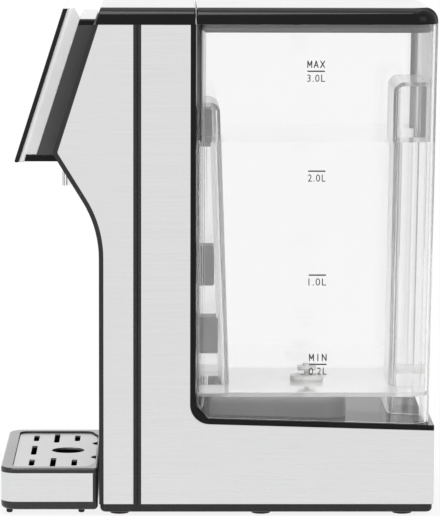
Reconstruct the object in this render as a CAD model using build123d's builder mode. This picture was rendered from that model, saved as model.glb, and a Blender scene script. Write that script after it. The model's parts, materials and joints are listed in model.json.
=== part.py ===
"""Counter-top hot water dispenser with a lift-off tank, a touch panel and a drip tray.

Lengths are millimetres and angles degrees. The front faces -Y, +Z is up, and the origin is on
the table under the middle of the footprint.
"""

import math
import os

from build123d import *

os.makedirs("parts", exist_ok=True)

# Whole machine
machine_width = 145.0
machine_height = 302.5
cut_over = 4.0
litre = 1e6
fit_gap = 0.15
press_gap = 0.05

# Column and base casing
tray_length = 58.05
tray_gap = 0.8
front_depth = 22.7
column_depth = 57.3
casing_wall = 2.2
panel_thickness = 1.2
front_trim = 2.55
joint_trim = 2.0
joint_groove = 0.4
base_setback = 1.25

# Sloping control face and the underside of the head
chin_drop = 85.6
chin_reach = 27.3
chin_radius = 5.0
face_tilt = 17.8
under_tilt = 31.8
under_radius = 64.3

# Feet and base plate
foot_height = 2.2
foot_radius = 6.5
foot_chamfer = 1.0
foot_side_inset = 13.0
foot_front_inset = 12.0
foot_rear_inset = 18.0
base_plate_height = 5.0
base_plate_inset = 0.6
base_plate_radius = 4.0
base_plate_edge = 2.5
vent_length = 34.0
vent_width = 2.6
vent_pitch = 6.5
vent_count = 7
vent_offset = 84.0

# Screws that hold the base plate
screw_radius = 1.5
screw_head_radius = 3.0
screw_head_height = 2.0
screw_length = 14.0
screw_socket_radius = 1.0
screw_socket_depth = 1.2
pillar_radius = 4.0
pillar_height = 18.0
pillar_side_inset = 3.0
pillar_front_side = 40.0
pillar_front_offset = 11.0
pillar_middle_offset = 30.0
pillar_rear_inset = 6.0

# Top cover of the column
cover_height = 9.8
cover_setback = 0.9
cover_radius = 7.0
cover_edge = 0.8
cover_wall = 2.4

# Cradle that the tank stands in
cradle_wall = 3.1
cradle_radius = 8.5
seat_height = 58.9
seat_drop = 4.0
platform_width = 110.0
platform_length = 82.0
platform_height = 71.0
platform_wall = 2.5
platform_radius = 14.0
platform_edge = 6.0

# Guides and sensor on the back of the column
guide_width = 18.0
guide_edge = 1.5
hook_drop = 2.8
hook_height = 22.0
hook_reach = 11.4
guide_low = 132.0
guide_high = 156.0
guide_reach = 11.7
sensor_low = 90.5
sensor_high = 112.5
sensor_reach = 15.9
sensor_wall = 1.6
sensor_board = 1.6

# Control head
head_width = 112.0
head_depth = 8.6
head_lip = 6.3
head_drop = 7.4
head_wall = 2.2
cap_height = 3.6
cap_edge = 1.2
sill_height = 4.0
sill_reach = 5.8
sill_edge = 0.5
light_depth = 8.9
light_hang = 0.4
light_drop = 0.8
light_crest = 4.0
light_edge = 0.3
glass_depth = 2.5
glass_hang = 0.7
glass_step = 0.5
glass_edge = 1.1
board_thickness = 1.6
board_width = 92.0
board_height = 58.0
board_post = 2.5
board_post_radius = 3.0
board_post_inset = 6.0
chip_width = 16.0
chip_height = 1.8

# Spout
spout_offset = 11.0
nozzle_radius = 7.0
nozzle_bore = 5.0
nozzle_hang = 25.8
nozzle_length = 14.0
nozzle_roof = 2.0
neck_radius = 4.2
neck_bore = 2.6
holder_radius = 5.4
holder_drop = 4.8
holder_height = 12.0
holder_barb = 18.0

# Hose and barbs
barb_radius = 3.4
barb_bore = 2.2
hose_wall = 1.6
hose_overlap = 9.0
riser_bend = 13.0
outlet_bend = 14.0

# Tank
tank_length = 142.65
tank_gap = 0.6
tank_inset = 2.0
tank_wall = 2.5
tank_draft = 3.5
tank_rear_radius = 14.0
tank_front_radius = 6.0
tank_heel = 7.0
tank_floor = 74.0
tank_floor_thickness = 2.5
tank_foot_gap = 0.3
channel_radius = 4.0
front_channel_width = 50.0
front_channel_drop = 51.4
front_channel_depth = 11.6
front_channel_draft = 5.9
grip_width = 64.0
grip_drop = 38.7
grip_depth = 21.0

# Tank lid
lid_gap = 0.7
lid_seat_gap = 0.3
lid_rear_radius = 16.0
lid_front_edge = 1.0
lid_edge = 8.0
lid_wall = 2.4
liner_gap = 1.2
liner_depth = 5.2
liner_wall = 2.0
liner_chamfer = 1.0
seal_height = 1.4
seal_rise = 1.6
seal_gap = 0.2

# Tank valve
valve_offset = 67.5
gasket_thickness = 1.0
flange_radius = 10.0
flange_thickness = 2.0
valve_neck_radius = 6.5
valve_neck_bore = 4.4
valve_neck_length = 13.0
spider_thickness = 1.6
spider_drop = 6.6
spider_arm = 1.4
spider_hub = 2.6
spider_arm_count = 3
valve_lift = 3.0
stem_radius = 1.5
poppet_radius = 5.8
poppet_thickness = 1.6
poppet_seal_radius = 5.5
poppet_seal_thickness = 1.0
knob_radius = 2.4
knob_height = 1.6
collar_radius = 3.6
collar_thickness = 1.0
stem_tail = 18.4
spring_wire = 0.5
spring_radius = 2.7
spring_turns = 4
spring_end_gap = 0.1

# Docking socket under the tank
socket_radius = 11.0
socket_bore = 8.6
socket_floor_thickness = 2.0
socket_tube_radius = 5.0
socket_bridge = 1.6
pin_radius = 1.2
pin_gap = 0.15
socket_seal_drop = 6.5
socket_seal_height = 2.5
socket_barb = 14.0

# Pump
pump_axis_height = 27.0
pump_gap = 12.0
pump_barb = 12.0
pump_radius = 17.0
pump_cover_thickness = 3.0
pump_depth = 13.0
pump_wall = 3.5
pump_chamber_radius = 13.5
outlet_rise = 8.5
outlet_length = 12.0
impeller_radius = 12.5
impeller_disc = 1.8
impeller_gap = 1.0
blade_height = 4.0
blade_thickness = 1.2
blade_count = 6
shaft_radius = 1.5
shaft_reach = 8.0
motor_radius = 12.0
motor_length = 31.0
motor_edge = 1.5
saddle_width = 22.0
saddle_length = 18.0

# Heater
heater_side_gap = 2.0
heater_back_gap = 8.0
heater_width = 34.0
heater_depth = 24.0
heater_low = 84.0
heater_drop = 36.0
heater_edge = 3.0
rib_count = 9
rib_gap = 4.0
rib_depth = 2.0
heater_barb = 11.0
bracket_width = 20.0
bracket_share = 0.52
bracket_foot = 2.0
cutout_radius = 7.0
cutout_height = 6.0
cutout_tab = 1.2

# Power board
power_board_length = 26.0
power_board_height = 110.0
power_board_low = 70.0
power_board_gap = 8.0
power_post_radius = 3.0
power_post_inset = 5.0
relay_length = 19.0
relay_width = 15.0
relay_height = 16.0
capacitor_radius = 7.0
capacitor_height = 18.0

# Mains inlet in the back of the base
inlet_side = 29.1
inlet_height = 30.0
inlet_width = 27.0
inlet_tall = 19.5
inlet_body = 22.0
inlet_flange = 1.0
inlet_lip = 3.0
inlet_wall = 2.0
inlet_pin_width = 4.0
inlet_pin_thickness = 2.0
inlet_pin_length = 12.0
inlet_pin_pitch = 7.0
inlet_pin_count = 3

# Drip tray
tray_width = 140.0
tray_foot_height = 3.3
tray_foot_radius = 1.9
tray_foot_inset = 11.0
tray_foot_front = 5.0
tray_foot_rear = 10.0
tray_height = 25.2
tray_front_radius = 10.0
tray_rear_radius = 2.0
tray_edge = 1.2
tray_bottom_edge = 2.5
band_low = 5.0
band_height = 17.2
band_thickness = 0.8
band_end = 3.0
rim_width = 6.8
rim_rear = 1.6
grille_drop = 1.2
grille_thickness = 1.2
grille_gap = 0.35
grille_front_radius = 5.0
grille_flank = 4.6
grille_shoulder = 16.0
grille_tab_radius = 5.0
ledge_width = 3.0
tray_floor = 2.5
slot_width = 3.4
short_slot = 21.0
long_slot = 32.0
slot_inset = 26.6
slot_pitch = 12.8
slot_front = 11.0
drain_radius = 10.0
drain_offset = 31.8
notch_radius = 6.5
notch_depth = 3.0
notch_inset = 45.5

# Stations along the machine
sides = {"left": -1, "right": 1}
half_width = machine_width / 2
core_half = half_width - panel_thickness
cavity_half = core_half - casing_wall
machine_length = tray_length + tray_gap + column_depth + tank_gap + tank_length
tray_front_y = -machine_length / 2
rear_y = machine_length / 2
tray_rear_y = tray_front_y + tray_length
column_front_y = tray_rear_y + tray_gap
joint_y = column_front_y + front_depth
front_back_y = joint_y - joint_groove / 2
rear_front_y = joint_y + joint_groove / 2
column_rear_y = column_front_y + column_depth
column_back_y = column_rear_y - cradle_wall
base_rear_y = rear_y - base_setback
tank_front_y = column_rear_y + tank_gap
valve_y = tank_front_y + valve_offset

# Levels
plate_top = foot_height + base_plate_height
cover_bottom = machine_height - cover_height
floor_under = tank_floor - tank_floor_thickness
tank_rim = cover_bottom
front_channel_top = tank_rim - front_channel_drop
grip_top = tank_rim - grip_drop
chin_y = column_front_y - chin_reach
chin_height = machine_height - chin_drop
elbow_z = chin_height - chin_reach / math.tan(math.radians(under_tilt))
seat_slope = seat_drop / (base_rear_y - column_rear_y)

MIN_Z = (Align.CENTER, Align.CENTER, Align.MIN)
FRONT_Z = (Align.CENTER, Align.MIN, Align.MIN)

pieces = {}


def face_y(z, depth=0):
    """Y of the sloping control face at height z, or of a plane that far in front of it."""
    tilt = math.radians(face_tilt)
    return chin_y + (z - chin_height) * math.tan(tilt) - depth / math.cos(tilt)


def under_y(z):
    """Y of the sloping underside of the head at height z."""
    return chin_y + (chin_height - z) * math.tan(math.radians(under_tilt))


def seat_z(y):
    """Height of the cradle's gently falling seat at y."""
    return seat_height - seat_slope * (y - column_rear_y)


def front_outline(plane, inset, low, high, back):
    """Side outline of the front shell, its front drawn in by inset, between low, high and back."""
    bottom, top, rear = low - inset, high + inset, back + inset
    with BuildSketch(plane) as outline:
        with BuildLine():
            FilletPolyline(
                (column_front_y, bottom),
                (column_front_y, elbow_z),
                (chin_y, chin_height),
                (face_y(top), top),
                radius=[under_radius, chin_radius],
            )
            Polyline((face_y(top), top), (rear, top), (rear, bottom), (column_front_y, bottom))
        make_face()
        if inset:
            offset(amount=-inset)
    return outline.sketch


def rear_outline(plane, inset, low, high, front):
    """Side outline of the column and base behind the joint, drawn in by inset under the cradle."""
    bottom, top, fore = low - inset, high + inset, front - inset
    with BuildSketch(plane) as outline:
        with BuildLine():
            FilletPolyline(
                (fore, bottom),
                (base_rear_y, bottom),
                (base_rear_y, seat_z(base_rear_y) - cradle_wall),
                (column_back_y, seat_z(column_back_y) - cradle_wall),
                (column_back_y, top),
                (fore, top),
                radius=[0, 0, 0, cradle_radius + cradle_wall, 0, 0],
                close=True,
            )
        make_face()
        if inset:
            offset(amount=-inset)
    return outline.sketch


def side_panel(outline, side, inset, *limits):
    """Thin steel sheet let into one side of a casing shell."""
    plane = Plane.YZ.offset(side * core_half)
    with BuildPart() as sheet:
        extrude(outline(plane, inset, *limits), amount=side * panel_thickness)
    return sheet


def rod(start, axis, length, radius, bore=0):
    """Round bar, or a tube where it has a bore, from start along axis."""
    with BuildPart() as bar:
        with BuildSketch(Plane(origin=start, z_dir=axis)):
            Circle(radius)
            if bore:
                Circle(bore, mode=Mode.SUBTRACT)
        extrude(amount=length)
    return bar.part


def hose(points, bends):
    """Hose over two barbs: straight runs joined by arcs, with an open bore."""
    with BuildPart() as tube:
        with BuildLine() as route:
            if bends:
                FilletPolyline(*points, radius=bends)
            else:
                Line(*points)
        path = route.wires()[0]
        with BuildSketch(Plane(origin=path @ 0, z_dir=path % 0)):
            Circle(barb_radius + press_gap + hose_wall)
            Circle(barb_radius + press_gap, mode=Mode.SUBTRACT)
        sweep(path=path)
    section = math.pi * ((barb_radius + press_gap + hose_wall) ** 2 - (barb_radius + press_gap) ** 2)
    print(f"hose volume {tube.part.volume:.1f}, section times length {section * path.length:.1f}")
    return tube


# Front shell with its sloping control face
front_limits = (plate_top, cover_bottom, front_back_y)
front_sheet_limits = (plate_top, cover_bottom, front_back_y - joint_trim)
spout_y = chin_y + spout_offset
nozzle_bottom = chin_height - nozzle_hang
nozzle_shoulder = nozzle_bottom + nozzle_length
holder_low = chin_height - holder_drop
pillar_x = cavity_half - pillar_side_inset
front_pillar_y = column_front_y + pillar_front_offset

with BuildPart() as front_shell:
    extrude(front_outline(Plane.YZ, 0, *front_limits), amount=half_width, both=True)
    extrude(
        front_outline(
            Plane.YZ, casing_wall, plate_top + casing_wall, cover_bottom - casing_wall, joint_y + cut_over
        ),
        amount=cavity_half,
        both=True,
        mode=Mode.SUBTRACT,
    )
    for side in sides.values():
        extrude(
            front_outline(Plane.YZ.offset(side * core_half), front_trim, *front_sheet_limits),
            amount=side * (panel_thickness + cut_over),
            mode=Mode.SUBTRACT,
        )
    with Locations((0, spout_y, nozzle_bottom)):
        Cylinder(
            nozzle_radius + fit_gap,
            nozzle_shoulder + fit_gap - nozzle_bottom,
            align=MIN_Z,
            mode=Mode.SUBTRACT,
        )
        Cylinder(neck_radius + fit_gap, holder_low - nozzle_bottom, align=MIN_Z, mode=Mode.SUBTRACT)
    with Locations(*[(side * pillar_front_side, front_pillar_y, plate_top) for side in sides.values()]):
        Cylinder(pillar_radius, pillar_height, align=MIN_Z)
        Cylinder(screw_radius + press_gap, screw_length, align=MIN_Z, mode=Mode.SUBTRACT)
pieces["front_shell"] = front_shell

# Rear housing: the back of the column and the hollow base in one shell
rear_limits = (plate_top, cover_bottom, rear_front_y)
rear_sheet_limits = (plate_top, cover_bottom, rear_front_y + joint_trim)
inlet_x = inlet_side - cavity_half
rear_pillars = [
    (side * pillar_x, y, plate_top)
    for side in sides.values()
    for y in (column_rear_y + pillar_middle_offset, base_rear_y - pillar_rear_inset)
]

with BuildPart() as rear_housing:
    extrude(rear_outline(Plane.YZ, 0, *rear_limits), amount=half_width, both=True)
    extrude(
        rear_outline(
            Plane.YZ,
            casing_wall,
            plate_top - cut_over,
            cover_bottom - casing_wall,
            rear_front_y - cut_over,
        ),
        amount=cavity_half,
        both=True,
        mode=Mode.SUBTRACT,
    )
    for side in sides.values():
        extrude(
            rear_outline(Plane.YZ.offset(side * core_half), 0, *rear_sheet_limits),
            amount=side * (panel_thickness + cut_over),
            mode=Mode.SUBTRACT,
        )
    with Locations((0, valve_y, pump_axis_height)):
        Cylinder(
            socket_tube_radius + fit_gap,
            seat_height - pump_axis_height,
            align=MIN_Z,
            mode=Mode.SUBTRACT,
        )
    with Locations((inlet_x, base_rear_y, inlet_height)):
        Box(
            inlet_width + 2 * fit_gap,
            2 * (casing_wall + cut_over),
            inlet_tall + 2 * fit_gap,
            mode=Mode.SUBTRACT,
        )
    with Locations(*rear_pillars):
        Cylinder(pillar_radius, pillar_height, align=MIN_Z)
        Cylinder(screw_radius + press_gap, screw_length, align=MIN_Z, mode=Mode.SUBTRACT)
pieces["rear_housing"] = rear_housing

# Brushed steel sheets let into both sides
for side_name, side in sides.items():
    pieces[f"front_panel_{side_name}"] = side_panel(
        front_outline,
        side,
        front_trim + fit_gap,
        plate_top + fit_gap,
        cover_bottom - fit_gap,
        front_back_y - joint_trim - fit_gap,
    )
    pieces[f"rear_panel_{side_name}"] = side_panel(
        rear_outline,
        side,
        fit_gap,
        plate_top + fit_gap,
        cover_bottom - fit_gap,
        rear_front_y + joint_trim + fit_gap,
    )

# L-shaped cradle that lines the column's back and the top of the base
with BuildPart() as tank_cradle:
    with BuildSketch(Plane.YZ):
        with BuildLine():
            FilletPolyline(
                (column_rear_y, cover_bottom),
                (column_rear_y, seat_z(column_rear_y)),
                (base_rear_y, seat_z(base_rear_y)),
                (base_rear_y, seat_z(base_rear_y) - cradle_wall),
                (column_back_y, seat_z(column_back_y) - cradle_wall),
                (column_back_y, cover_bottom),
                radius=[0, cradle_radius, 0, 0, cradle_radius + cradle_wall, 0],
                close=True,
            )
        make_face()
    extrude(amount=half_width, both=True)
    with Locations((0, valve_y, pump_axis_height)):
        Cylinder(
            socket_tube_radius + fit_gap,
            seat_height - pump_axis_height,
            align=MIN_Z,
            mode=Mode.SUBTRACT,
        )
pieces["tank_cradle"] = tank_cradle

# Raised platform on the seat, under the tank floor
platform_front_y = column_rear_y + cradle_radius + fit_gap
platform_rear_y = platform_front_y + platform_length


def platform_block(inset, top):
    """Platform shape over the sloping seat, its walls drawn in by inset, its back corners round."""
    front, back = platform_front_y + inset, platform_rear_y - inset
    with BuildPart() as block:
        with BuildSketch(Plane.YZ):
            with BuildLine():
                Polyline((front, seat_z(front)), (back, seat_z(back)), (back, top), (front, top), close=True)
            make_face()
        extrude(amount=platform_width / 2 - inset, both=True)
        fillet(block.edges().filter_by(Axis.Z).group_by(Axis.Y)[-1], radius=platform_radius - inset)
    return block


hollow = platform_block(platform_wall, platform_height - platform_wall)
with hollow:
    with Locations((0, valve_y, 0)):
        Cylinder(
            socket_radius + fit_gap + platform_wall,
            platform_height,
            align=MIN_Z,
            mode=Mode.SUBTRACT,
        )

with BuildPart() as tank_platform:
    add(platform_block(0, platform_height).part)
    fillet(tank_platform.faces().sort_by(Axis.Z)[-1].edges(), radius=platform_edge)
    add(hollow.part, mode=Mode.SUBTRACT)
    with Locations((0, valve_y, 0)):
        Cylinder(socket_radius + fit_gap, machine_height, align=MIN_Z, mode=Mode.SUBTRACT)
pieces["tank_platform"] = tank_platform


def column_guide(low, high, reach):
    """Rounded block on the back of the column that reaches into the tank's front channel."""
    with BuildPart() as guide:
        with Locations((0, column_rear_y, low)):
            Box(guide_width, reach, high - low, align=FRONT_Z)
        fillet(guide.faces().sort_by(Axis.Y)[-1].edges(), radius=guide_edge)
    return guide


hook_high = front_channel_top - hook_drop
pieces["tank_hook"] = column_guide(hook_high - hook_height, hook_high, hook_reach)
pieces["tank_guide"] = column_guide(guide_low, guide_high, guide_reach)

# Level sensor: a hollow housing on the column and the small board inside it
sensor_housing = column_guide(sensor_low, sensor_high, sensor_reach)
with sensor_housing:
    with Locations((0, column_rear_y, sensor_low + sensor_wall)):
        Box(
            guide_width - 2 * sensor_wall,
            sensor_reach - sensor_wall,
            sensor_high - sensor_low - 2 * sensor_wall,
            align=FRONT_Z,
            mode=Mode.SUBTRACT,
        )
pieces["sensor_housing"] = sensor_housing

with BuildPart() as level_sensor:
    with Locations((0, column_rear_y + sensor_reach - sensor_wall - sensor_board, sensor_low + sensor_wall)):
        Box(
            guide_width - 2 * sensor_wall - 2 * fit_gap,
            sensor_board,
            sensor_high - sensor_low - 2 * sensor_wall - fit_gap,
            align=FRONT_Z,
        )
pieces["level_sensor"] = level_sensor

# Base plate with air slots and counterbored screw holes
plate_front_y = column_front_y + base_plate_inset
plate_rear_y = base_rear_y - base_plate_inset
plate_middle_y = (plate_front_y + plate_rear_y) / 2
screw_places = [(side * pillar_front_side, front_pillar_y, foot_height) for side in sides.values()] + [
    (x, y, foot_height) for x, y, z in rear_pillars
]

with BuildPart() as base_plate:
    with BuildSketch(Plane.XY.offset(foot_height)):
        with Locations((0, plate_middle_y)):
            RectangleRounded(
                machine_width - 2 * base_plate_inset,
                plate_rear_y - plate_front_y,
                base_plate_radius,
            )
    extrude(amount=base_plate_height)
    fillet(base_plate.faces().sort_by(Axis.Z)[0].edges(), radius=base_plate_edge)
    with BuildSketch(Plane.XY.offset(foot_height)):
        with Locations((0, column_rear_y + vent_offset)):
            with GridLocations(vent_length, vent_pitch, 1, vent_count):
                SlotOverall(vent_length, vent_width)
    extrude(amount=base_plate_height, mode=Mode.SUBTRACT)
    with Locations(*screw_places):
        Cylinder(screw_radius + press_gap, base_plate_height, align=MIN_Z, mode=Mode.SUBTRACT)
        Cylinder(screw_head_radius + fit_gap, screw_head_height, align=MIN_Z, mode=Mode.SUBTRACT)
pieces["base_plate"] = base_plate

with BuildPart() as base_screws:
    with Locations(*screw_places):
        Cylinder(screw_head_radius, screw_head_height, align=MIN_Z)
        Cylinder(screw_radius, screw_length, align=MIN_Z)
        Cylinder(screw_socket_radius, screw_socket_depth, align=MIN_Z, mode=Mode.SUBTRACT)
pieces["base_screws"] = base_screws

foot_x = half_width - foot_side_inset
foot_front_y = column_front_y + foot_front_inset
foot_rear_y = base_rear_y - foot_rear_inset
foot_places = [
    (side * foot_x, y, 0)
    for side in sides.values()
    for y in (foot_front_y, (foot_front_y + foot_rear_y) / 2, foot_rear_y)
]

with BuildPart() as rubber_feet:
    with Locations(*foot_places):
        Cylinder(foot_radius, foot_height, align=MIN_Z)
    chamfer(rubber_feet.edges().group_by(Axis.Z)[0], length=foot_chamfer)
pieces["rubber_feet"] = rubber_feet

# Glossy cover over the column
cover_rear_y = column_rear_y - lid_gap / 2
with BuildPart() as top_cover:
    with BuildSketch(Plane.YZ):
        with BuildLine():
            Polyline(
                (face_y(cover_bottom) + cover_setback, cover_bottom),
                (cover_rear_y, cover_bottom),
                (cover_rear_y, machine_height),
                (face_y(machine_height) + cover_setback, machine_height),
                close=True,
            )
        make_face()
    extrude(amount=half_width, both=True)
    fillet(top_cover.faces().sort_by(Axis.Z)[-1].edges().filter_by(Axis.Y), radius=cover_radius)
    fillet(top_cover.faces().sort_by(Axis.Z)[-1].edges().filter_by(Axis.X), radius=cover_edge)
    with BuildSketch(Plane.YZ):
        with BuildLine():
            Polyline(
                (face_y(cover_bottom) + cover_setback + cover_wall, cover_bottom),
                (cover_rear_y - cover_wall, cover_bottom),
                (cover_rear_y - cover_wall, machine_height - cover_wall),
                (face_y(machine_height) + cover_setback + cover_wall, machine_height - cover_wall),
                close=True,
            )
        make_face()
    extrude(amount=half_width - cover_radius, both=True, mode=Mode.SUBTRACT)
pieces["top_cover"] = top_cover

# Control head: housing between its sill and its cap, clear light panel and black touch glass
head_top = machine_height - head_drop
head_bottom = chin_height - head_lip
sill_top = head_bottom + sill_height
cap_low = head_top - cap_height
face_plane = Plane(
    origin=(0, face_y(chin_height), chin_height),
    x_dir=(1, 0, 0),
    z_dir=(0, -math.cos(math.radians(face_tilt)), math.sin(math.radians(face_tilt))),
)
board_middle = (head_top + head_bottom) / 2
board_plane = Plane(
    origin=(0, face_y(board_middle, head_wall), board_middle),
    x_dir=face_plane.x_dir,
    z_dir=face_plane.z_dir,
)

with BuildPart() as head_housing:
    with BuildSketch(Plane.YZ):
        with BuildLine():
            Polyline(
                (face_y(cap_low), cap_low),
                (face_y(cap_low, head_depth), cap_low),
                (face_y(sill_top, head_depth), sill_top),
                (under_y(sill_top), sill_top),
                (chin_y, chin_height),
                close=True,
            )
        make_face()
    extrude(amount=head_width / 2, both=True)
    with BuildSketch(Plane.YZ):
        with BuildLine():
            low, high = sill_top + head_wall, cap_low - head_wall
            front = head_depth + cut_over
            Polyline(
                (face_y(high, head_wall), high),
                (face_y(high, front), high),
                (face_y(low, front), low),
                (face_y(low, head_wall), low),
                close=True,
            )
        make_face()
    extrude(amount=head_width / 2 - head_wall, both=True, mode=Mode.SUBTRACT)
    with BuildSketch(board_plane):
        with GridLocations(board_width - 2 * board_post_inset, board_height - 2 * board_post_inset, 2, 2):
            Circle(board_post_radius)
    extrude(amount=board_post)
pieces["head_housing"] = head_housing

with BuildPart() as head_cap:
    with BuildSketch(Plane.YZ):
        with BuildLine():
            Polyline(
                (face_y(cap_low), cap_low),
                (face_y(head_top), head_top),
                (face_y(head_top, head_depth), head_top),
                (face_y(cap_low, head_depth), cap_low),
                close=True,
            )
        make_face()
    extrude(amount=head_width / 2, both=True)
    fillet(head_cap.faces().filter_by(Axis.X).edges().group_by(Axis.Z)[-1], radius=cap_edge)
pieces["head_cap"] = head_cap

sill_front = head_depth + sill_reach
with BuildPart() as head_sill:
    with BuildSketch(Plane.YZ):
        with BuildLine():
            Polyline(
                (under_y(sill_top), sill_top),
                (face_y(sill_top, sill_front), sill_top),
                (face_y(head_bottom, sill_front), head_bottom),
                (under_y(head_bottom), head_bottom),
                close=True,
            )
        make_face()
    extrude(amount=head_width / 2, both=True)
    fillet(head_sill.faces().filter_by(Axis.X).edges(), radius=sill_edge)
pieces["head_sill"] = head_sill

with BuildPart() as control_board:
    with BuildSketch(board_plane.offset(board_post)):
        Rectangle(board_width, board_height)
    extrude(amount=board_thickness)
    with BuildSketch(board_plane.offset(board_post + board_thickness)):
        Rectangle(chip_width, chip_width)
    extrude(amount=chip_height)
pieces["control_board"] = control_board

light_front = head_depth + light_depth
light_bottom = head_bottom - light_hang
light_top = machine_height - light_drop
light_step = sill_top + fit_gap
with BuildPart() as light_panel:
    with BuildSketch(Plane.YZ):
        with BuildLine():
            Polyline(
                (face_y(light_step, head_depth), light_step),
                (face_y(light_step, sill_front + fit_gap), light_step),
                (face_y(light_bottom, sill_front + fit_gap), light_bottom),
                (face_y(light_bottom, light_front), light_bottom),
                (face_y(light_top, light_front), light_top),
                (face_y(light_top, light_front) + light_crest, light_top),
                (face_y(head_top, head_depth), head_top),
                close=True,
            )
        make_face()
    extrude(amount=head_width / 2, both=True)
    chamfer(light_panel.faces().filter_by(Axis.X).edges(), length=light_edge)
pieces["light_panel"] = light_panel

glass_bottom = head_bottom - glass_hang
glass_top = light_top - glass_step
with BuildPart() as touch_glass:
    with BuildSketch(Plane.YZ):
        with BuildLine():
            Polyline(
                (face_y(glass_bottom, light_front), glass_bottom),
                (face_y(glass_bottom, light_front + glass_depth), glass_bottom),
                (face_y(glass_top, light_front + glass_depth), glass_top),
                (face_y(glass_top, light_front), glass_top),
                close=True,
            )
        make_face()
    extrude(amount=head_width / 2, both=True)
    fillet(touch_glass.faces().sort_by(Axis.Y)[0].edges(), radius=glass_edge)
pieces["touch_glass"] = touch_glass

# Clear spout nozzle and the elbow that feeds it
with BuildPart() as spout_nozzle:
    with Locations((0, spout_y, nozzle_bottom)):
        Cylinder(nozzle_radius, nozzle_shoulder - nozzle_bottom, align=MIN_Z)
        Cylinder(
            nozzle_bore,
            nozzle_shoulder - nozzle_bottom - nozzle_roof,
            align=MIN_Z,
            mode=Mode.SUBTRACT,
        )
    with Locations((0, spout_y, nozzle_shoulder)):
        Cylinder(neck_radius, holder_low - nozzle_shoulder + holder_height / 2, align=MIN_Z)
    with Locations((0, spout_y, nozzle_bottom)):
        Cylinder(neck_bore, machine_height, align=MIN_Z, mode=Mode.SUBTRACT)
pieces["spout_nozzle"] = spout_nozzle

feed_height = holder_low + holder_height / 2
with BuildPart() as spout_elbow:
    with Locations((0, spout_y, holder_low)):
        Cylinder(holder_radius, holder_height, align=MIN_Z)
    add(rod((0, spout_y, feed_height), (0, 1, 0), holder_barb, barb_radius))
    with Locations((0, spout_y, holder_low)):
        Cylinder(neck_radius + press_gap, holder_height / 2, align=MIN_Z, mode=Mode.SUBTRACT)
        Cylinder(neck_bore, holder_height - casing_wall, align=MIN_Z, mode=Mode.SUBTRACT)
    add(rod((0, spout_y, feed_height), (0, 1, 0), holder_barb + cut_over, barb_bore), mode=Mode.SUBTRACT)
pieces["spout_elbow"] = spout_elbow

# Clear water tank
tank_half = half_width - tank_inset
tank_rise = tank_rim - seat_z(tank_front_y)


def tank_rear_at(z):
    """Y of the tank's rear wall, which leans in towards the bottom."""
    return rear_y - tank_draft * (tank_rim - z) / tank_rise


def tank_skirt_z(y):
    """Height of the lower edge of the tank's skirt, just clear of the seat."""
    return seat_z(y) + tank_foot_gap


def upright(block):
    """Edges that run up the block."""
    return block.edges().filter_by(lambda edge: abs((edge % 0.5).Z) > math.cos(math.pi / 4))


def tank_block(inset, points):
    """Solid of the tank's plan between two side profiles, its upright corners rounded."""
    with BuildPart() as block:
        with BuildSketch(Plane.YZ):
            with BuildLine():
                Polyline(*points, close=True)
            make_face()
        extrude(amount=tank_half - inset, both=True)
        fillet(upright(block).group_by(Axis.Y)[-1], radius=tank_rear_radius - inset)
        fillet(upright(block).group_by(Axis.Y)[0], radius=tank_front_radius - inset)
    return block.part


def channel_block(mouth, back, top, low, half, grow):
    """Upright channel in a tank wall, from its mouth to a leaning back, grown on its inner sides."""
    inwards = math.copysign(grow, back[0] - mouth)
    with BuildPart() as channel:
        with BuildSketch(Plane.YZ):
            with BuildLine():
                Polyline(
                    (mouth, low),
                    (back[1] + inwards, low),
                    (back[0] + inwards, top + grow),
                    (mouth, top + grow),
                    close=True,
                )
            make_face()
        extrude(amount=half + grow, both=True)
        facing = channel.faces().sort_by(Axis.Y)
        back_face = facing[-1] if back[0] > mouth else facing[0]
        fillet(back_face.edges().sort_by(Axis.Z)[1:], radius=channel_radius + grow)
    return channel.part


skirt_low = seat_z(base_rear_y) - cut_over
front_mouth = tank_front_y - cut_over
front_low_share = (front_channel_top - skirt_low) / (front_channel_top - tank_floor)
front_back = (
    tank_front_y + front_channel_depth,
    tank_front_y + front_channel_depth + front_channel_draft * front_low_share,
)
front_wall_share = (front_channel_top - floor_under) / (front_channel_top - tank_floor)
front_wall_back = (
    front_back[0],
    tank_front_y + front_channel_depth + front_channel_draft * front_wall_share,
)
grip_mouth = rear_y + cut_over
grip_back = (tank_rear_at(grip_top) - grip_depth, tank_rear_at(skirt_low) - grip_depth)
inner_top = tank_rim + cut_over
inner_front = tank_front_y + tank_wall

with BuildPart() as tank_cavity:
    add(
        tank_block(
            tank_wall,
            [
                (inner_front, tank_floor),
                (tank_rear_at(tank_floor) - tank_wall, tank_floor),
                (tank_rear_at(inner_top) - tank_wall, inner_top),
                (inner_front, inner_top),
            ],
        )
    )
    add(
        channel_block(
            front_mouth,
            front_wall_back,
            front_channel_top,
            floor_under,
            front_channel_width / 2,
            tank_wall,
        ),
        mode=Mode.SUBTRACT,
    )
    add(
        channel_block(grip_mouth, grip_back, grip_top, skirt_low, grip_width / 2, tank_wall),
        mode=Mode.SUBTRACT,
    )

with BuildPart() as skirt_hollow:
    add(
        tank_block(
            tank_wall,
            [
                (inner_front, skirt_low),
                (tank_rear_at(skirt_low) - tank_wall, skirt_low),
                (tank_rear_at(floor_under) - tank_wall, floor_under),
                (inner_front, floor_under),
            ],
        )
    )
    add(
        channel_block(grip_mouth, grip_back, grip_top, skirt_low, grip_width / 2, tank_wall),
        mode=Mode.SUBTRACT,
    )

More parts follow.
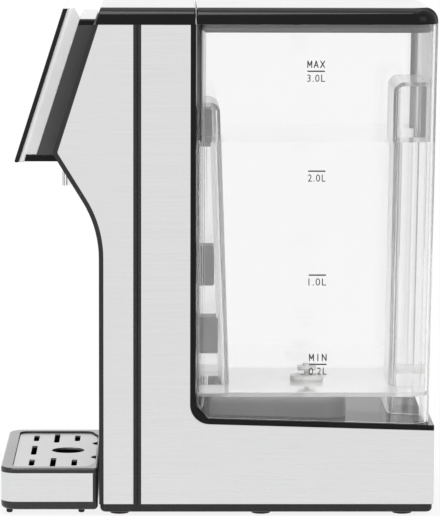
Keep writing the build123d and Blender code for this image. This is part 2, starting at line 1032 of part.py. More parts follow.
with BuildPart() as tank:
    heel_y = tank_front_y + tank_heel
    skirt_rear_y = tank_rear_at(seat_z(base_rear_y))
    add(
        tank_block(
            0,
            [
                (tank_front_y, tank_skirt_z(heel_y) + tank_heel),
                (heel_y, tank_skirt_z(heel_y)),
                (skirt_rear_y, tank_skirt_z(skirt_rear_y)),
                (tank_rear_at(tank_rim), tank_rim),
                (tank_front_y, tank_rim),
            ],
        )
    )
    add(tank_cavity.part, mode=Mode.SUBTRACT)
    add(skirt_hollow.part, mode=Mode.SUBTRACT)
    add(
        channel_block(
            front_mouth,
            front_back,
            front_channel_top,
            skirt_low,
            front_channel_width / 2,
            0,
        ),
        mode=Mode.SUBTRACT,
    )
    add(
        channel_block(grip_mouth, grip_back, grip_top, skirt_low - cut_over, grip_width / 2, 0),
        mode=Mode.SUBTRACT,
    )
    with Locations((0, valve_y, floor_under)):
        Cylinder(
            valve_neck_radius + press_gap,
            tank_floor_thickness,
            align=MIN_Z,
            mode=Mode.SUBTRACT,
        )
pieces["tank"] = tank
print(f"tank holds {tank_cavity.part.volume / litre:.2f} litres to above its rim")


def ring(outer, bore, low, height):
    """Flat ring round the valve's axis."""
    with BuildPart() as washer:
        with Locations((0, valve_y, low)):
            Cylinder(outer, height, align=MIN_Z)
            Cylinder(bore, height, align=MIN_Z, mode=Mode.SUBTRACT)
    return washer


# Valve in the tank floor: body, gasket, poppet, its seal and its return spring
flange_low = tank_floor + gasket_thickness
flange_top = flange_low + flange_thickness
neck_low = flange_low - valve_neck_length
spider_low = tank_floor - spider_drop
pieces["valve_gasket"] = ring(flange_radius, valve_neck_radius + press_gap, tank_floor, gasket_thickness)

with BuildPart() as valve_body:
    with Locations((0, valve_y, flange_low)):
        Cylinder(flange_radius, flange_thickness, align=MIN_Z)
    with Locations((0, valve_y, neck_low)):
        Cylinder(valve_neck_radius, valve_neck_length, align=MIN_Z)
        Cylinder(valve_neck_bore, valve_neck_length + cut_over, align=MIN_Z, mode=Mode.SUBTRACT)
    with BuildSketch(Plane.XY.offset(spider_low)):
        with Locations((0, valve_y)):
            Circle(spider_hub)
            with PolarLocations(0, spider_arm_count):
                Rectangle(
                    (valve_neck_bore + valve_neck_radius) / 2,
                    spider_arm,
                    align=(Align.MIN, Align.CENTER),
                )
            Circle(stem_radius + press_gap, mode=Mode.SUBTRACT)
    extrude(amount=spider_thickness)
pieces["valve_body"] = valve_body

seal_low = flange_top + valve_lift
poppet_low = seal_low + poppet_seal_thickness
stem_low = flange_top + valve_lift - stem_tail - collar_thickness
with BuildPart() as valve_poppet:
    with Locations((0, valve_y, poppet_low)):
        Cylinder(poppet_radius, poppet_thickness, align=MIN_Z)
    with Locations((0, valve_y, poppet_low + poppet_thickness)):
        Cylinder(knob_radius, knob_height, align=MIN_Z)
    with Locations((0, valve_y, stem_low)):
        Cylinder(stem_radius, poppet_low - stem_low, align=MIN_Z)
        Cylinder(collar_radius, collar_thickness, align=MIN_Z)
pieces["valve_poppet"] = valve_poppet
pieces["poppet_seal"] = ring(poppet_seal_radius, stem_radius, seal_low, poppet_seal_thickness)


def helix_point(angle, low, rise):
    """Point of the spring's centre line at an angle in radians, climbing rise a turn."""
    turn = angle / (2 * math.pi)
    return Vector(
        spring_radius * math.cos(angle), valve_y + spring_radius * math.sin(angle), low + rise * turn
    )


def helix_tangent(angle, rise):
    """Direction of the spring's centre line at an angle in radians."""
    climb = rise / (2 * math.pi)
    return Vector(-spring_radius * math.sin(angle), spring_radius * math.cos(angle), climb).normalized()


def biarc_middle(start, end, leave, arrive):
    """Point where two equal arcs, tangent to both end directions, meet."""
    across = end - start
    both = leave + arrive
    spread = 2 * (1 - leave.dot(arrive))
    along = across.dot(both)
    reach = (math.sqrt(along**2 + spread * across.dot(across)) - along) / spread
    return (start + end + (leave - arrive) * reach) * 0.5


spring_low = stem_low + collar_thickness + spring_end_gap + spring_wire / 2
spring_high = spider_low - spring_end_gap - spring_wire / 2
spring_rise = (spring_high - spring_low) / spring_turns
quarter = math.pi / 2
with BuildPart() as valve_spring:
    with BuildLine() as spring_line:
        for step in range(4 * spring_turns):
            start = helix_point(step * quarter, spring_low, spring_rise)
            end = helix_point((step + 1) * quarter, spring_low, spring_rise)
            leave = helix_tangent(step * quarter, spring_rise)
            arrive = helix_tangent((step + 1) * quarter, spring_rise)
            middle = biarc_middle(start, end, leave, arrive)
            first = TangentArc(start, middle, tangent=leave)
            TangentArc(middle, end, tangent=first % 1)
    spring_path = spring_line.wires()[0]
    with BuildSketch(Plane(origin=spring_path @ 0, z_dir=spring_path % 0)):
        Circle(spring_wire / 2)
    sweep(path=spring_path)
pieces["valve_spring"] = valve_spring
print(f"spring turns are {spring_rise - spring_wire:.2f} mm apart")

# Docking socket in the platform, its lifting pin and its seal
socket_base = seat_z(valve_y - socket_radius) + fit_gap
socket_floor = socket_base + socket_floor_thickness
pin_top = stem_low - pin_gap
with BuildPart() as dock_socket:
    with Locations((0, valve_y, socket_base)):
        Cylinder(socket_radius, platform_height - socket_base, align=MIN_Z)
    with Locations((0, valve_y, socket_floor)):
        Cylinder(socket_bore, platform_height - socket_floor, align=MIN_Z, mode=Mode.SUBTRACT)
    with Locations((0, valve_y, pump_axis_height - barb_radius)):
        Cylinder(socket_tube_radius, socket_base - pump_axis_height + barb_radius, align=MIN_Z)
    add(rod((0, valve_y, pump_axis_height), (0, -1, 0), socket_barb, barb_radius))
    with Locations((0, valve_y, pump_axis_height)):
        Cylinder(barb_radius, socket_floor - pump_axis_height, align=MIN_Z, mode=Mode.SUBTRACT)
    add(
        rod((0, valve_y, pump_axis_height), (0, -1, 0), socket_barb + cut_over, barb_bore),
        mode=Mode.SUBTRACT,
    )
    with Locations((0, valve_y, socket_base)):
        Box(2 * socket_tube_radius, socket_bridge, socket_floor_thickness, align=MIN_Z)
        Cylinder(pin_radius, pin_top - socket_base, align=MIN_Z)
pieces["dock_socket"] = dock_socket
socket_seal_low = platform_height - socket_seal_drop
pieces["dock_seal"] = ring(socket_bore, valve_neck_radius + press_gap, socket_seal_low, socket_seal_height)

# Lid of the tank: glossy shell, plug-in liner and silicone seal
lid_front_y = column_rear_y + lid_gap / 2
lid_bottom = tank_rim + lid_seat_gap
mouth_half = tank_half - tank_wall


def lid_plan(level, inset, front, back, half, back_radius, front_radius=0):
    """Plan of the lid at a level, drawn in by inset, with round back corners."""
    with BuildSketch(Plane.XY.offset(level)) as plan:
        with Locations((0, (front + back) / 2)):
            Rectangle(2 * (half - inset), back - front - 2 * inset)
        fillet(plan.vertices().group_by(Axis.Y)[-1], radius=back_radius - inset)
        if front_radius:
            fillet(plan.vertices().group_by(Axis.Y)[0], radius=front_radius)
    return plan.sketch


def mouth_plan(level, inset):
    """Plan of the tank's mouth at a level, drawn in by inset."""
    return lid_plan(
        level,
        inset,
        inner_front,
        rear_y - tank_wall,
        mouth_half,
        tank_rear_radius - tank_wall,
        tank_front_radius - tank_wall,
    )


with BuildPart() as tank_lid:
    extrude(
        lid_plan(lid_bottom, 0, lid_front_y, rear_y, half_width, lid_rear_radius),
        amount=machine_height - lid_bottom,
    )
    top_edges = tank_lid.faces().sort_by(Axis.Z)[-1].edges().sort_by(Axis.Y)
    fillet(top_edges[1:], radius=lid_edge)
    fillet(tank_lid.faces().sort_by(Axis.Y)[0].edges().sort_by(Axis.Z)[1:], radius=lid_front_edge)
    extrude(
        mouth_plan(lid_bottom, liner_gap + liner_wall),
        amount=machine_height - lid_bottom - lid_wall,
        mode=Mode.SUBTRACT,
    )
pieces["tank_lid"] = tank_lid

liner_low = lid_bottom - liner_depth
with BuildPart() as lid_liner:
    extrude(mouth_plan(liner_low, liner_gap), amount=liner_depth)
    chamfer(lid_liner.faces().sort_by(Axis.Z)[0].edges(), length=liner_chamfer)
    extrude(
        mouth_plan(liner_low, liner_gap + liner_wall),
        amount=liner_depth - liner_wall,
        mode=Mode.SUBTRACT,
    )
pieces["lid_liner"] = lid_liner

with BuildPart() as lid_seal:
    extrude(mouth_plan(liner_low + seal_rise, seal_gap), amount=seal_height)
    extrude(mouth_plan(liner_low + seal_rise, liner_gap), amount=seal_height, mode=Mode.SUBTRACT)
pieces["lid_seal"] = lid_seal

# Pump: chamber, cover with inlet, impeller on its shaft, motor and rubber saddle
socket_barb_y = valve_y - socket_barb
pump_inlet_y = socket_barb_y - pump_gap + 2 * press_gap
pump_cover_y = pump_inlet_y - pump_barb
chamber_y = pump_cover_y - pump_cover_thickness
pump_back_y = chamber_y - pump_depth
rearward = (0, 1, 0)
outlet_z = pump_axis_height + outlet_rise
impeller_y = pump_back_y + pump_wall + impeller_gap
outlet_y = impeller_y + impeller_disc + blade_height / 2


def on_axis(y):
    """Point of the pump's axis at y."""
    return (0, y, pump_axis_height)


with BuildPart() as pump_chamber:
    add(rod(on_axis(pump_back_y), rearward, pump_depth, pump_radius))
    add(rod((0, outlet_y, outlet_z), (-1, 0, 0), pump_radius + outlet_length, barb_radius))
    add(
        rod(on_axis(pump_back_y + pump_wall), rearward, pump_depth, pump_chamber_radius),
        mode=Mode.SUBTRACT,
    )
    add(
        rod((0, outlet_y, outlet_z), (-1, 0, 0), pump_radius + outlet_length + cut_over, barb_bore),
        mode=Mode.SUBTRACT,
    )
    add(rod(on_axis(pump_back_y), rearward, pump_depth, shaft_radius + press_gap), mode=Mode.SUBTRACT)
pieces["pump_chamber"] = pump_chamber

with BuildPart() as pump_cover:
    add(rod(on_axis(chamber_y), rearward, pump_cover_thickness, pump_radius))
    add(rod(on_axis(pump_cover_y), rearward, pump_barb, barb_radius))
    add(
        rod(on_axis(chamber_y), rearward, pump_cover_thickness + pump_barb, barb_bore),
        mode=Mode.SUBTRACT,
    )
pieces["pump_cover"] = pump_cover

with BuildPart() as pump_impeller:
    add(rod(on_axis(impeller_y), rearward, impeller_disc, impeller_radius))
    with BuildSketch(Plane(origin=on_axis(impeller_y + impeller_disc), x_dir=(1, 0, 0), z_dir=rearward)):
        with PolarLocations(0, blade_count):
            Rectangle(impeller_radius, blade_thickness, align=(Align.MIN, Align.CENTER))
    extrude(amount=blade_height)
    add(
        rod(
            on_axis(pump_back_y - shaft_reach),
            rearward,
            shaft_reach + pump_wall + impeller_gap + impeller_disc,
            shaft_radius,
        )
    )
pieces["pump_impeller"] = pump_impeller

with BuildPart() as pump_motor:
    add(rod(on_axis(pump_back_y - motor_length), rearward, motor_length, motor_radius))
    fillet(pump_motor.faces().sort_by(Axis.Y)[0].edges(), radius=motor_edge)
    add(
        rod(
            on_axis(pump_back_y - shaft_reach - fit_gap),
            rearward,
            shaft_reach + cut_over,
            shaft_radius + press_gap,
        ),
        mode=Mode.SUBTRACT,
    )
pieces["pump_motor"] = pump_motor

with BuildPart() as pump_saddle:
    with Locations((0, pump_back_y - motor_length / 2, plate_top)):
        Box(saddle_width, saddle_length, pump_axis_height - plate_top, align=MIN_Z)
    add(
        rod(on_axis(pump_back_y - motor_length), rearward, motor_length, motor_radius + press_gap),
        mode=Mode.SUBTRACT,
    )
pieces["pump_saddle"] = pump_saddle

# Heater block, its bracket and its thermal cut-out
heater_back_y = column_back_y - casing_wall - heater_back_gap
heater_x = heater_side_gap + heater_width / 2 - cavity_half
heater_y = heater_back_y - heater_depth / 2
heater_top = feed_height - heater_drop
heater_height = heater_top - heater_low
bracket_height = heater_height * bracket_share
rib_pitch = heater_height / rib_count
upward = (0, 0, 1)

with BuildPart() as heater_block:
    with Locations((heater_x, heater_y, heater_low)):
        Box(heater_width, heater_depth, heater_height, align=MIN_Z)
    fillet(heater_block.edges().filter_by(Axis.Z), radius=heater_edge)
    for rib in range(rib_count):
        with Locations((heater_x, heater_y - heater_depth / 2, heater_low + (rib + 0.5) * rib_pitch)):
            Box(heater_width, 2 * rib_depth, rib_gap, mode=Mode.SUBTRACT)
    add(rod((heater_x, heater_y, heater_low - heater_barb), upward, heater_barb, barb_radius))
    add(rod((heater_x, heater_y, heater_top), upward, heater_barb, barb_radius))
    add(
        rod(
            (heater_x, heater_y, heater_low - heater_barb),
            upward,
            heater_height + 2 * heater_barb,
            barb_bore,
        ),
        mode=Mode.SUBTRACT,
    )
pieces["heater_block"] = heater_block

with BuildPart() as heater_bracket:
    with Locations((heater_x, heater_back_y, heater_low + heater_height / 2)):
        Box(
            bracket_width,
            heater_back_gap,
            bracket_height,
            align=(Align.CENTER, Align.MIN, Align.CENTER),
        )
        Box(
            bracket_width,
            heater_back_gap - 2 * bracket_foot,
            bracket_height - 2 * bracket_foot,
            align=(Align.CENTER, Align.MIN, Align.CENTER),
            mode=Mode.SUBTRACT,
        )
pieces["heater_bracket"] = heater_bracket

with BuildPart() as thermal_cutout:
    cutout_at = (heater_x + heater_width / 2, heater_y, heater_low + heater_height / 2)
    add(rod(cutout_at, (1, 0, 0), cutout_height, cutout_radius))
    with Locations(cutout_at):
        Box(
            cutout_tab,
            heater_depth - 2 * heater_edge,
            2 * cutout_radius,
            align=(Align.MIN, Align.CENTER, Align.CENTER),
        )
pieces["thermal_cutout"] = thermal_cutout

# Hoses from socket to pump, pump to heater and heater to spout
outlet_end_x = -(pump_radius + outlet_length)
feed_end_y = spout_y + holder_barb
pieces["inlet_hose"] = hose(
    [on_axis(pump_inlet_y - hose_overlap), on_axis(socket_barb_y + hose_overlap)], None
)
pieces["riser_hose"] = hose(
    [
        (outlet_end_x + hose_overlap, outlet_y, outlet_z),
        (heater_x, outlet_y, outlet_z),
        (heater_x, heater_y, outlet_z),
        (heater_x, heater_y, heater_low - heater_barb + hose_overlap),
    ],
    [riser_bend, riser_bend],
)
pieces["outlet_hose"] = hose(
    [
        (heater_x, heater_y, heater_top + heater_barb - hose_overlap),
        (heater_x, heater_y, feed_height),
        (0, heater_y, feed_height),
        (0, feed_end_y - hose_overlap, feed_height),
    ],
    [outlet_bend, outlet_bend],
)

# Power board on four posts off the right wall of the rear housing
power_plane = Plane(
    origin=(
        cavity_half,
        (rear_front_y + column_back_y - casing_wall) / 2,
        power_board_low + power_board_height / 2,
    ),
    x_dir=(0, 1, 0),
    z_dir=(-1, 0, 0),
)
power_face = power_board_gap + board_thickness

with BuildPart() as power_posts:
    with BuildSketch(power_plane):
        with GridLocations(
            power_board_length - 2 * power_post_inset, power_board_height - 2 * power_post_inset, 2, 2
        ):
            Circle(power_post_radius)
    extrude(amount=power_board_gap)
pieces["power_posts"] = power_posts

with BuildPart() as power_board:
    with BuildSketch(power_plane.offset(power_board_gap)):
        Rectangle(power_board_length, power_board_height)
    extrude(amount=board_thickness)
    with BuildSketch(power_plane.offset(power_face)):
        with Locations((0, power_board_height / 4)):
            Rectangle(relay_length, relay_width)
    extrude(amount=relay_height)
    with BuildSketch(power_plane.offset(power_face)):
        with Locations((0, -power_board_height / 4)):
            Circle(capacitor_radius)
    extrude(amount=capacitor_height)
pieces["power_board"] = power_board

# Mains inlet through the back wall of the base
inlet_face_y = base_rear_y + inlet_flange
with BuildPart() as mains_inlet:
    with Locations((inlet_x, base_rear_y, inlet_height)):
        Box(
            inlet_width + 2 * inlet_lip,
            inlet_flange,
            inlet_tall + 2 * inlet_lip,
            align=(Align.CENTER, Align.MIN, Align.CENTER),
        )
        Box(inlet_width, inlet_body, inlet_tall, align=(Align.CENTER, Align.MAX, Align.CENTER))
    with Locations((inlet_x, inlet_face_y, inlet_height)):
        Box(
            inlet_width - 2 * inlet_wall,
            inlet_body + inlet_flange - inlet_wall,
            inlet_tall - 2 * inlet_wall,
            align=(Align.CENTER, Align.MAX, Align.CENTER),
            mode=Mode.SUBTRACT,
        )
    with Locations((inlet_x, base_rear_y - inlet_body + inlet_wall, inlet_height)):
        with GridLocations(inlet_pin_pitch, inlet_pin_pitch, inlet_pin_count, 1):
            Box(
                inlet_pin_thickness,
                inlet_pin_length,
                inlet_pin_width,
                align=(Align.CENTER, Align.MIN, Align.CENTER),
            )
pieces["mains_inlet"] = mains_inlet

# Drip tray: basin, steel band, feet and lift-out grille
tray_half = tray_width / 2
tray_top = tray_foot_height + tray_height
grille_low = tray_top - grille_drop - grille_thickness


def tray_plan(level, inset):
    """Plan of the tray at a level, drawn in by inset."""
    with BuildSketch(Plane.XY.offset(level)) as plan:
        with Locations((0, (tray_front_y + tray_rear_y) / 2)):
            Rectangle(tray_width, tray_length)
        fillet(plan.vertices().group_by(Axis.Y)[0], radius=tray_front_radius)
        fillet(plan.vertices().group_by(Axis.Y)[-1], radius=tray_rear_radius)
        if inset:
            offset(amount=-inset)
    return plan.sketch


def band_ring():
    """Strip round the front and sides of the tray, open at its back."""
    with BuildPart() as strip:
        extrude(tray_plan(tray_foot_height + band_low, 0), amount=band_height)
        extrude(
            tray_plan(tray_foot_height + band_low, band_thickness), amount=band_height, mode=Mode.SUBTRACT
        )
        with Locations((0, tray_rear_y - band_end, tray_foot_height)):
            Box(tray_width + cut_over, band_end + cut_over, tray_height, align=FRONT_Z, mode=Mode.SUBTRACT)
    return strip


def grille_plan(level, inset):
    """Plan of the grille's opening at a level, its back shoulders slanted, drawn in by inset."""
    half = tray_half - rim_width
    front, back = tray_front_y + rim_width, tray_rear_y - rim_rear
    shoulder = half - grille_shoulder
    with BuildSketch(Plane.XY.offset(level)) as plan:
        with BuildLine():
            FilletPolyline(
                (-half, front),
                (half, front),
                (half, back - grille_flank),
                (shoulder, back),
                (-shoulder, back),
                (-half, back - grille_flank),
                radius=[
                    grille_front_radius,
                    grille_front_radius,
                    grille_tab_radius,
                    grille_tab_radius,
                    grille_tab_radius,
                    grille_tab_radius,
                ],
                close=True,
            )
        make_face()
        if inset:
            offset(amount=-inset)
    return plan.sketch


with BuildPart() as drip_tray:
    extrude(tray_plan(tray_foot_height, 0), amount=tray_height)
    fillet(drip_tray.faces().sort_by(Axis.Z)[0].edges(), radius=tray_bottom_edge)
    fillet(drip_tray.faces().sort_by(Axis.Z)[-1].edges(), radius=tray_edge)
    add(band_ring().part, mode=Mode.SUBTRACT)
    extrude(grille_plan(grille_low, 0), amount=tray_top - grille_low, mode=Mode.SUBTRACT)
    extrude(
        grille_plan(tray_foot_height + tray_floor, ledge_width),
        amount=grille_low - tray_foot_height - tray_floor,
        mode=Mode.SUBTRACT,
    )
pieces["drip_tray"] = drip_tray
pieces["tray_band"] = band_ring()

tray_foot_x = tray_half - tray_foot_inset
with BuildPart() as tray_feet:
    with Locations(
        *[
            (side * tray_foot_x, y, 0)
            for side in sides.values()
            for y in (tray_front_y + tray_foot_front, tray_rear_y - tray_foot_rear)
        ]
    ):
        Cylinder(tray_foot_radius, tray_foot_height, align=MIN_Z)
    fillet(tray_feet.edges().group_by(Axis.Z)[0], radius=foot_chamfer)
pieces["tray_feet"] = tray_feet

first_slot_y = tray_front_y + rim_width + slot_front
slot_side = tray_half - slot_inset
notch_side = tray_half - notch_inset
notch_y = tray_rear_y - rim_rear - grille_gap + notch_radius - notch_depth
with BuildPart() as drip_grille:
    extrude(grille_plan(grille_low, grille_gap), amount=grille_thickness)
    with BuildSketch(Plane.XY.offset(grille_low)):
        with Locations((0, first_slot_y + slot_pitch)):
            with GridLocations(2 * slot_side, 2 * slot_pitch, 2, 2):
                SlotOverall(short_slot, slot_width)
            with GridLocations(2 * slot_side, slot_pitch, 2, 1):
                SlotOverall(long_slot, slot_width)
        with Locations((0, first_slot_y)):
            SlotOverall(long_slot, slot_width)
        with Locations((0, tray_front_y + rim_width + drain_offset)):
            Circle(drain_radius)
        with Locations(*[(side * notch_side, notch_y) for side in sides.values()]):
            Circle(notch_radius)
    extrude(amount=grille_thickness, mode=Mode.SUBTRACT)
pieces["drip_grille"] = drip_grille

for piece_name, piece in pieces.items():
    piece.part.label = piece_name
    export_step(piece.part, f"parts/{piece_name}.step")
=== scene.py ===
"""Finishes, printing, water and studio of a counter-top hot water dispenser."""

import json
import math

import bmesh
import bpy
import numpy as np
from mathutils import Matrix, Quaternion, Vector


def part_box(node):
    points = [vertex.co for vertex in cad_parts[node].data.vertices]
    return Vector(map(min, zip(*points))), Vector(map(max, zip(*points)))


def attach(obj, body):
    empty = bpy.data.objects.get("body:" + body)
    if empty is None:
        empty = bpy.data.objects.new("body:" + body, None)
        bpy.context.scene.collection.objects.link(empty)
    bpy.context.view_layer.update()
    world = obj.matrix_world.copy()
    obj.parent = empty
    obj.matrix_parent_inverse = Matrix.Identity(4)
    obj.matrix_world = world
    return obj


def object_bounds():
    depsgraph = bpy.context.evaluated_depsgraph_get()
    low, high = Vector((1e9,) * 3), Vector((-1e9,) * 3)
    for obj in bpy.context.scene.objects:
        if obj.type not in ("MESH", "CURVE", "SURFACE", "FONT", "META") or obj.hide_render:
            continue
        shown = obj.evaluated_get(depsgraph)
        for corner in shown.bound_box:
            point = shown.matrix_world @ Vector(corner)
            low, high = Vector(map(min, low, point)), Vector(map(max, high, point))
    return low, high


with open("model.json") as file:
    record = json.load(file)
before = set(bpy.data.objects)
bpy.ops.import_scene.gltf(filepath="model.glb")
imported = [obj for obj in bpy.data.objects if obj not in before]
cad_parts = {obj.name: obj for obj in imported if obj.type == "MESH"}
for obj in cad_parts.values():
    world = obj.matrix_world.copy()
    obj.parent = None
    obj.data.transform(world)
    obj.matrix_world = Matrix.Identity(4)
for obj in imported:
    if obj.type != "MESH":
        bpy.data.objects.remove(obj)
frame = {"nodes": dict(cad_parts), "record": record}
cad_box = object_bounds()

bl_info = {
    "name": "Hot water dispenser",
    "version": (1, 0, 0),
    "blender": (4, 5, 0),
    "location": "View3D > Sidebar > Dispenser",
    "description": "Finishes, printing, water and studio of a counter-top hot water dispenser",
    "category": "Object",
}

MM = 0.001

# Range of the noise that finishes use, and the share by which it varies their gloss
NOISE_LOW, NOISE_HIGH = 0.3, 0.7
GLOSS_SPREAD = 0.15
# Mouldings: clouds in cycles a metre, their detail and depth of tone, and depth of the grain to its size
CLOUD_SCALE, CLOUD_DETAIL, CLOUD_TONE = 28.0, 3.0, 0.08
GRAIN_DEPTH_SHARE = 0.1
# Brushed metals: detail of the streaks, their depth and the strength of their relief
BRUSH_DETAIL, BRUSH_DEPTH, BRUSH_STRENGTH = 4.0, 0.02 * MM, 0.12
# Clear pieces: cycles a metre of the ripple, its detail and depth, and what bends the light
RIPPLE_SCALE, RIPPLE_DETAIL, RIPPLE_DEPTH = (18.0, 18.0, 12.0), 1.0, 1.0 * MM
ACRYLIC_IOR, TANK_IOR, WATER_IOR = 1.49, 1.54, 1.33
# Printing: roughness, grain and strength of the ink's finish
INK_FINISH = (0.5, 0.4 * MM, 0.1)
# Letters: height of a figure to the font's size, and the spacing of fitted words
FIGURE_SHARE, FITTED_SPACE = 0.72, 1.15
# Letters: steps of a curve, and the distance in thicknesses within which points merge
CURVE_STEPS, MERGE_SHARE = 4, 0.1
# Distance between drawn letters in letter widths
LETTER_PITCH = 1.3

RECORD_COLOURS = {row["slot"]: tuple(row["base_color"][:3]) for row in frame["record"]["materials"]}
SLOT_NODES = {slot: [] for slot in RECORD_COLOURS}
for row in frame["record"]["subparts"]:
    SLOT_NODES[row["material_slot"]].append(row["node"])

# Strokes of each drawn letter, from point to point in shares of its cell
STROKES = {
    "M": (((0, 0), (0, 1)), ((0, 1), (0.5, 0.3)), ((0.5, 0.3), (1, 1)), ((1, 1), (1, 0))),
    "A": (((0, 0), (0.5, 1)), ((0.5, 1), (1, 0)), ((0.2, 0.3), (0.8, 0.3))),
    "X": (((0, 0), (1, 1)), ((0, 1), (1, 0))),
    "I": (((0.5, 0), (0.5, 1)),),
    "N": (((0, 0), (0, 1)), ((0, 1), (1, 0)), ((1, 0), (1, 1))),
}


def colour_property(slot, words):
    """Colour of one finish, with the record's colour as its default."""
    return bpy.props.FloatVectorProperty(
        name=slot.replace("_", " ").capitalize(),
        description=words,
        subtype="COLOR",
        min=0.0,
        max=1.0,
        default=RECORD_COLOURS[slot],
    )


def length_property(name, words, default):
    """Length in metres."""
    return bpy.props.FloatProperty(
        name=name, description=words, default=default, subtype="DISTANCE", unit="LENGTH", precision=5
    )


def share_property(name, words, default):
    """Plain number from 0 to 1."""
    return bpy.props.FloatProperty(
        name=name, description=words, default=default, min=0.0, max=1.0, subtype="FACTOR"
    )


class DispenserColours(bpy.types.PropertyGroup):
    """Colours of the dispenser's finishes."""

    gloss_black: colour_property("gloss_black", "Mouldings of the cover, the lid and the cradle")
    satin_black: colour_property("satin_black", "Casing shells, base plate and tray")
    fitting_grey: colour_property("fitting_grey", "Platform and guides under and behind the tank")
    brushed_steel: colour_property("brushed_steel", "Side panels, tray band and grille")
    dark_grey: colour_property("dark_grey", "Housing of the control head")
    clear_acrylic: colour_property("clear_acrylic", "Clear panel and spout nozzle")
    black_glass: colour_property("black_glass", "Touch glass")
    clear_tank: colour_property("clear_tank", "Water tank")
    liner_grey: colour_property("liner_grey", "Plug-in liner of the lid")
    silicone: colour_property("silicone", "Seals of the valve and the docking socket")
    seal_grey: colour_property("seal_grey", "Seal of the lid")
    rubber: colour_property("rubber", "Feet and pump saddle")
    hose: colour_property("hose", "Hoses inside the casing")
    white_plastic: colour_property("white_plastic", "Valve, socket and pump mouldings")
    plain_steel: colour_property("plain_steel", "Motor, bracket, screws and spring")
    cast_aluminium: colour_property("cast_aluminium", "Heater block")
    moulded_resin: colour_property("moulded_resin", "Thermal cut-out")
    circuit_board: colour_property("circuit_board", "Circuit boards")
    brass: colour_property("brass", "Posts of the power board")
    print_black: bpy.props.FloatVectorProperty(
        name="Black print",
        description="Litre scale on the tank",
        subtype="COLOR",
        default=(0.01, 0.01, 0.011),
    )
    print_pale: bpy.props.FloatVectorProperty(
        name="Pale print",
        description="Symbols on the touch glass",
        subtype="COLOR",
        default=(0.62, 0.64, 0.66),
    )
    water: bpy.props.FloatVectorProperty(
        name="Water",
        description="Water in the tank",
        subtype="COLOR",
        default=(0.997, 0.997, 0.997),
    )


class TankSizes(bpy.types.PropertyGroup):
    """Inside of the tank, and the water and the scale that follow it."""

    wall: length_property("Wall", "Thickness of the tank's walls", 2.5 * MM)
    floor: length_property("Floor", "Height of the tank's floor", 74.0 * MM)
    lean: length_property("Lean", "How far the rear wall leans in from rim to seat", 3.5 * MM)
    seat: length_property("Seat", "Height of the seat under the tank's front", 58.9 * MM)
    rear_radius: length_property("Rear radius", "Outer radius of the rear corners", 14.0 * MM)
    front_radius: length_property("Front radius", "Outer radius of the front corners", 6.0 * MM)
    channel_radius: length_property("Channel radius", "Radius in the corners of both channels", 4.0 * MM)
    channel_half: length_property("Channel half width", "Half width of the front channel", 25.0 * MM)
    channel_top: length_property("Channel top", "Height of the front channel's roof", 241.3 * MM)
    channel_depth: length_property("Channel depth", "Depth of the front channel at its roof", 11.6 * MM)
    channel_lean: length_property("Channel lean", "Extra depth of that channel at the floor", 5.9 * MM)
    grip_half: length_property("Grip half width", "Half width of the grip recess", 32.0 * MM)
    grip_depth: length_property("Grip depth", "Depth of the grip recess", 21.0 * MM)
    edge_radius: length_property("Edge radius", "Radius of the channels' outer edges", 0.4 * MM)
    overlap: length_property("Overlap", "How far the water reaches into the wall", 0.08 * MM)
    level: length_property("Water level", "Height of the water", 223.4 * MM)


class ScaleSizes(bpy.types.PropertyGroup):
    """Litre scale printed on the tank's right side."""

    middle: length_property("Middle", "Place of the scale's highest line along the tank", 57.05 * MM)
    lean: length_property("Lean", "How far the lowest line stands behind the highest", 2.0 * MM)
    line_length: length_property("Line length", "Length of a graduation line", 10.5 * MM)
    line_width: length_property("Line width", "Width of a graduation line", 0.8 * MM)
    letters: length_property("Letters", "Height of the lettering", 4.4 * MM)
    stroke: length_property("Stroke", "Width of the bold lettering's strokes", 0.62 * MM)
    letter_gap: length_property("Letter gap", "Gap from a line to the middle of its lettering", 4.1 * MM)
    ink: length_property("Ink", "Thickness of the print", 0.03 * MM)
    level_full: length_property("Full", "Height of the highest line", 265.4 * MM)
    level_two: length_property("Two litres", "Height of the line for two litres", 206.4 * MM)
    level_one: length_property("One litre", "Height of the line for one litre", 144.6 * MM)
    level_least: length_property("Least", "Height of the lowest line", 91.2 * MM)


class TouchSizes(bpy.types.PropertyGroup):
    """Symbols on the touch glass."""

    tilt: bpy.props.FloatProperty(
        name="Tilt",
        description="Slope of the glass from upright",
        default=math.radians(17.8),
        subtype="ANGLE",
        unit="ROTATION",
    )
    key_radius: length_property("Key radius", "Radius of a touch key's ring", 7.0 * MM)
    key_line: length_property("Key line", "Width of a ring's line", 0.5 * MM)
    key_pitch: length_property("Key pitch", "Distance between keys", 23.0 * MM)
    letters: length_property("Letters", "Height of the numbers in the keys", 4.2 * MM)
    digit_height: length_property("Digit height", "Height of the display's digits", 11.0 * MM)
    digit_width: length_property("Digit width", "Width of the display's digits", 6.0 * MM)
    segment: length_property("Segment", "Width of a segment of a digit", 1.2 * MM)
    ink: length_property("Ink", "Thickness of the print", 0.03 * MM)


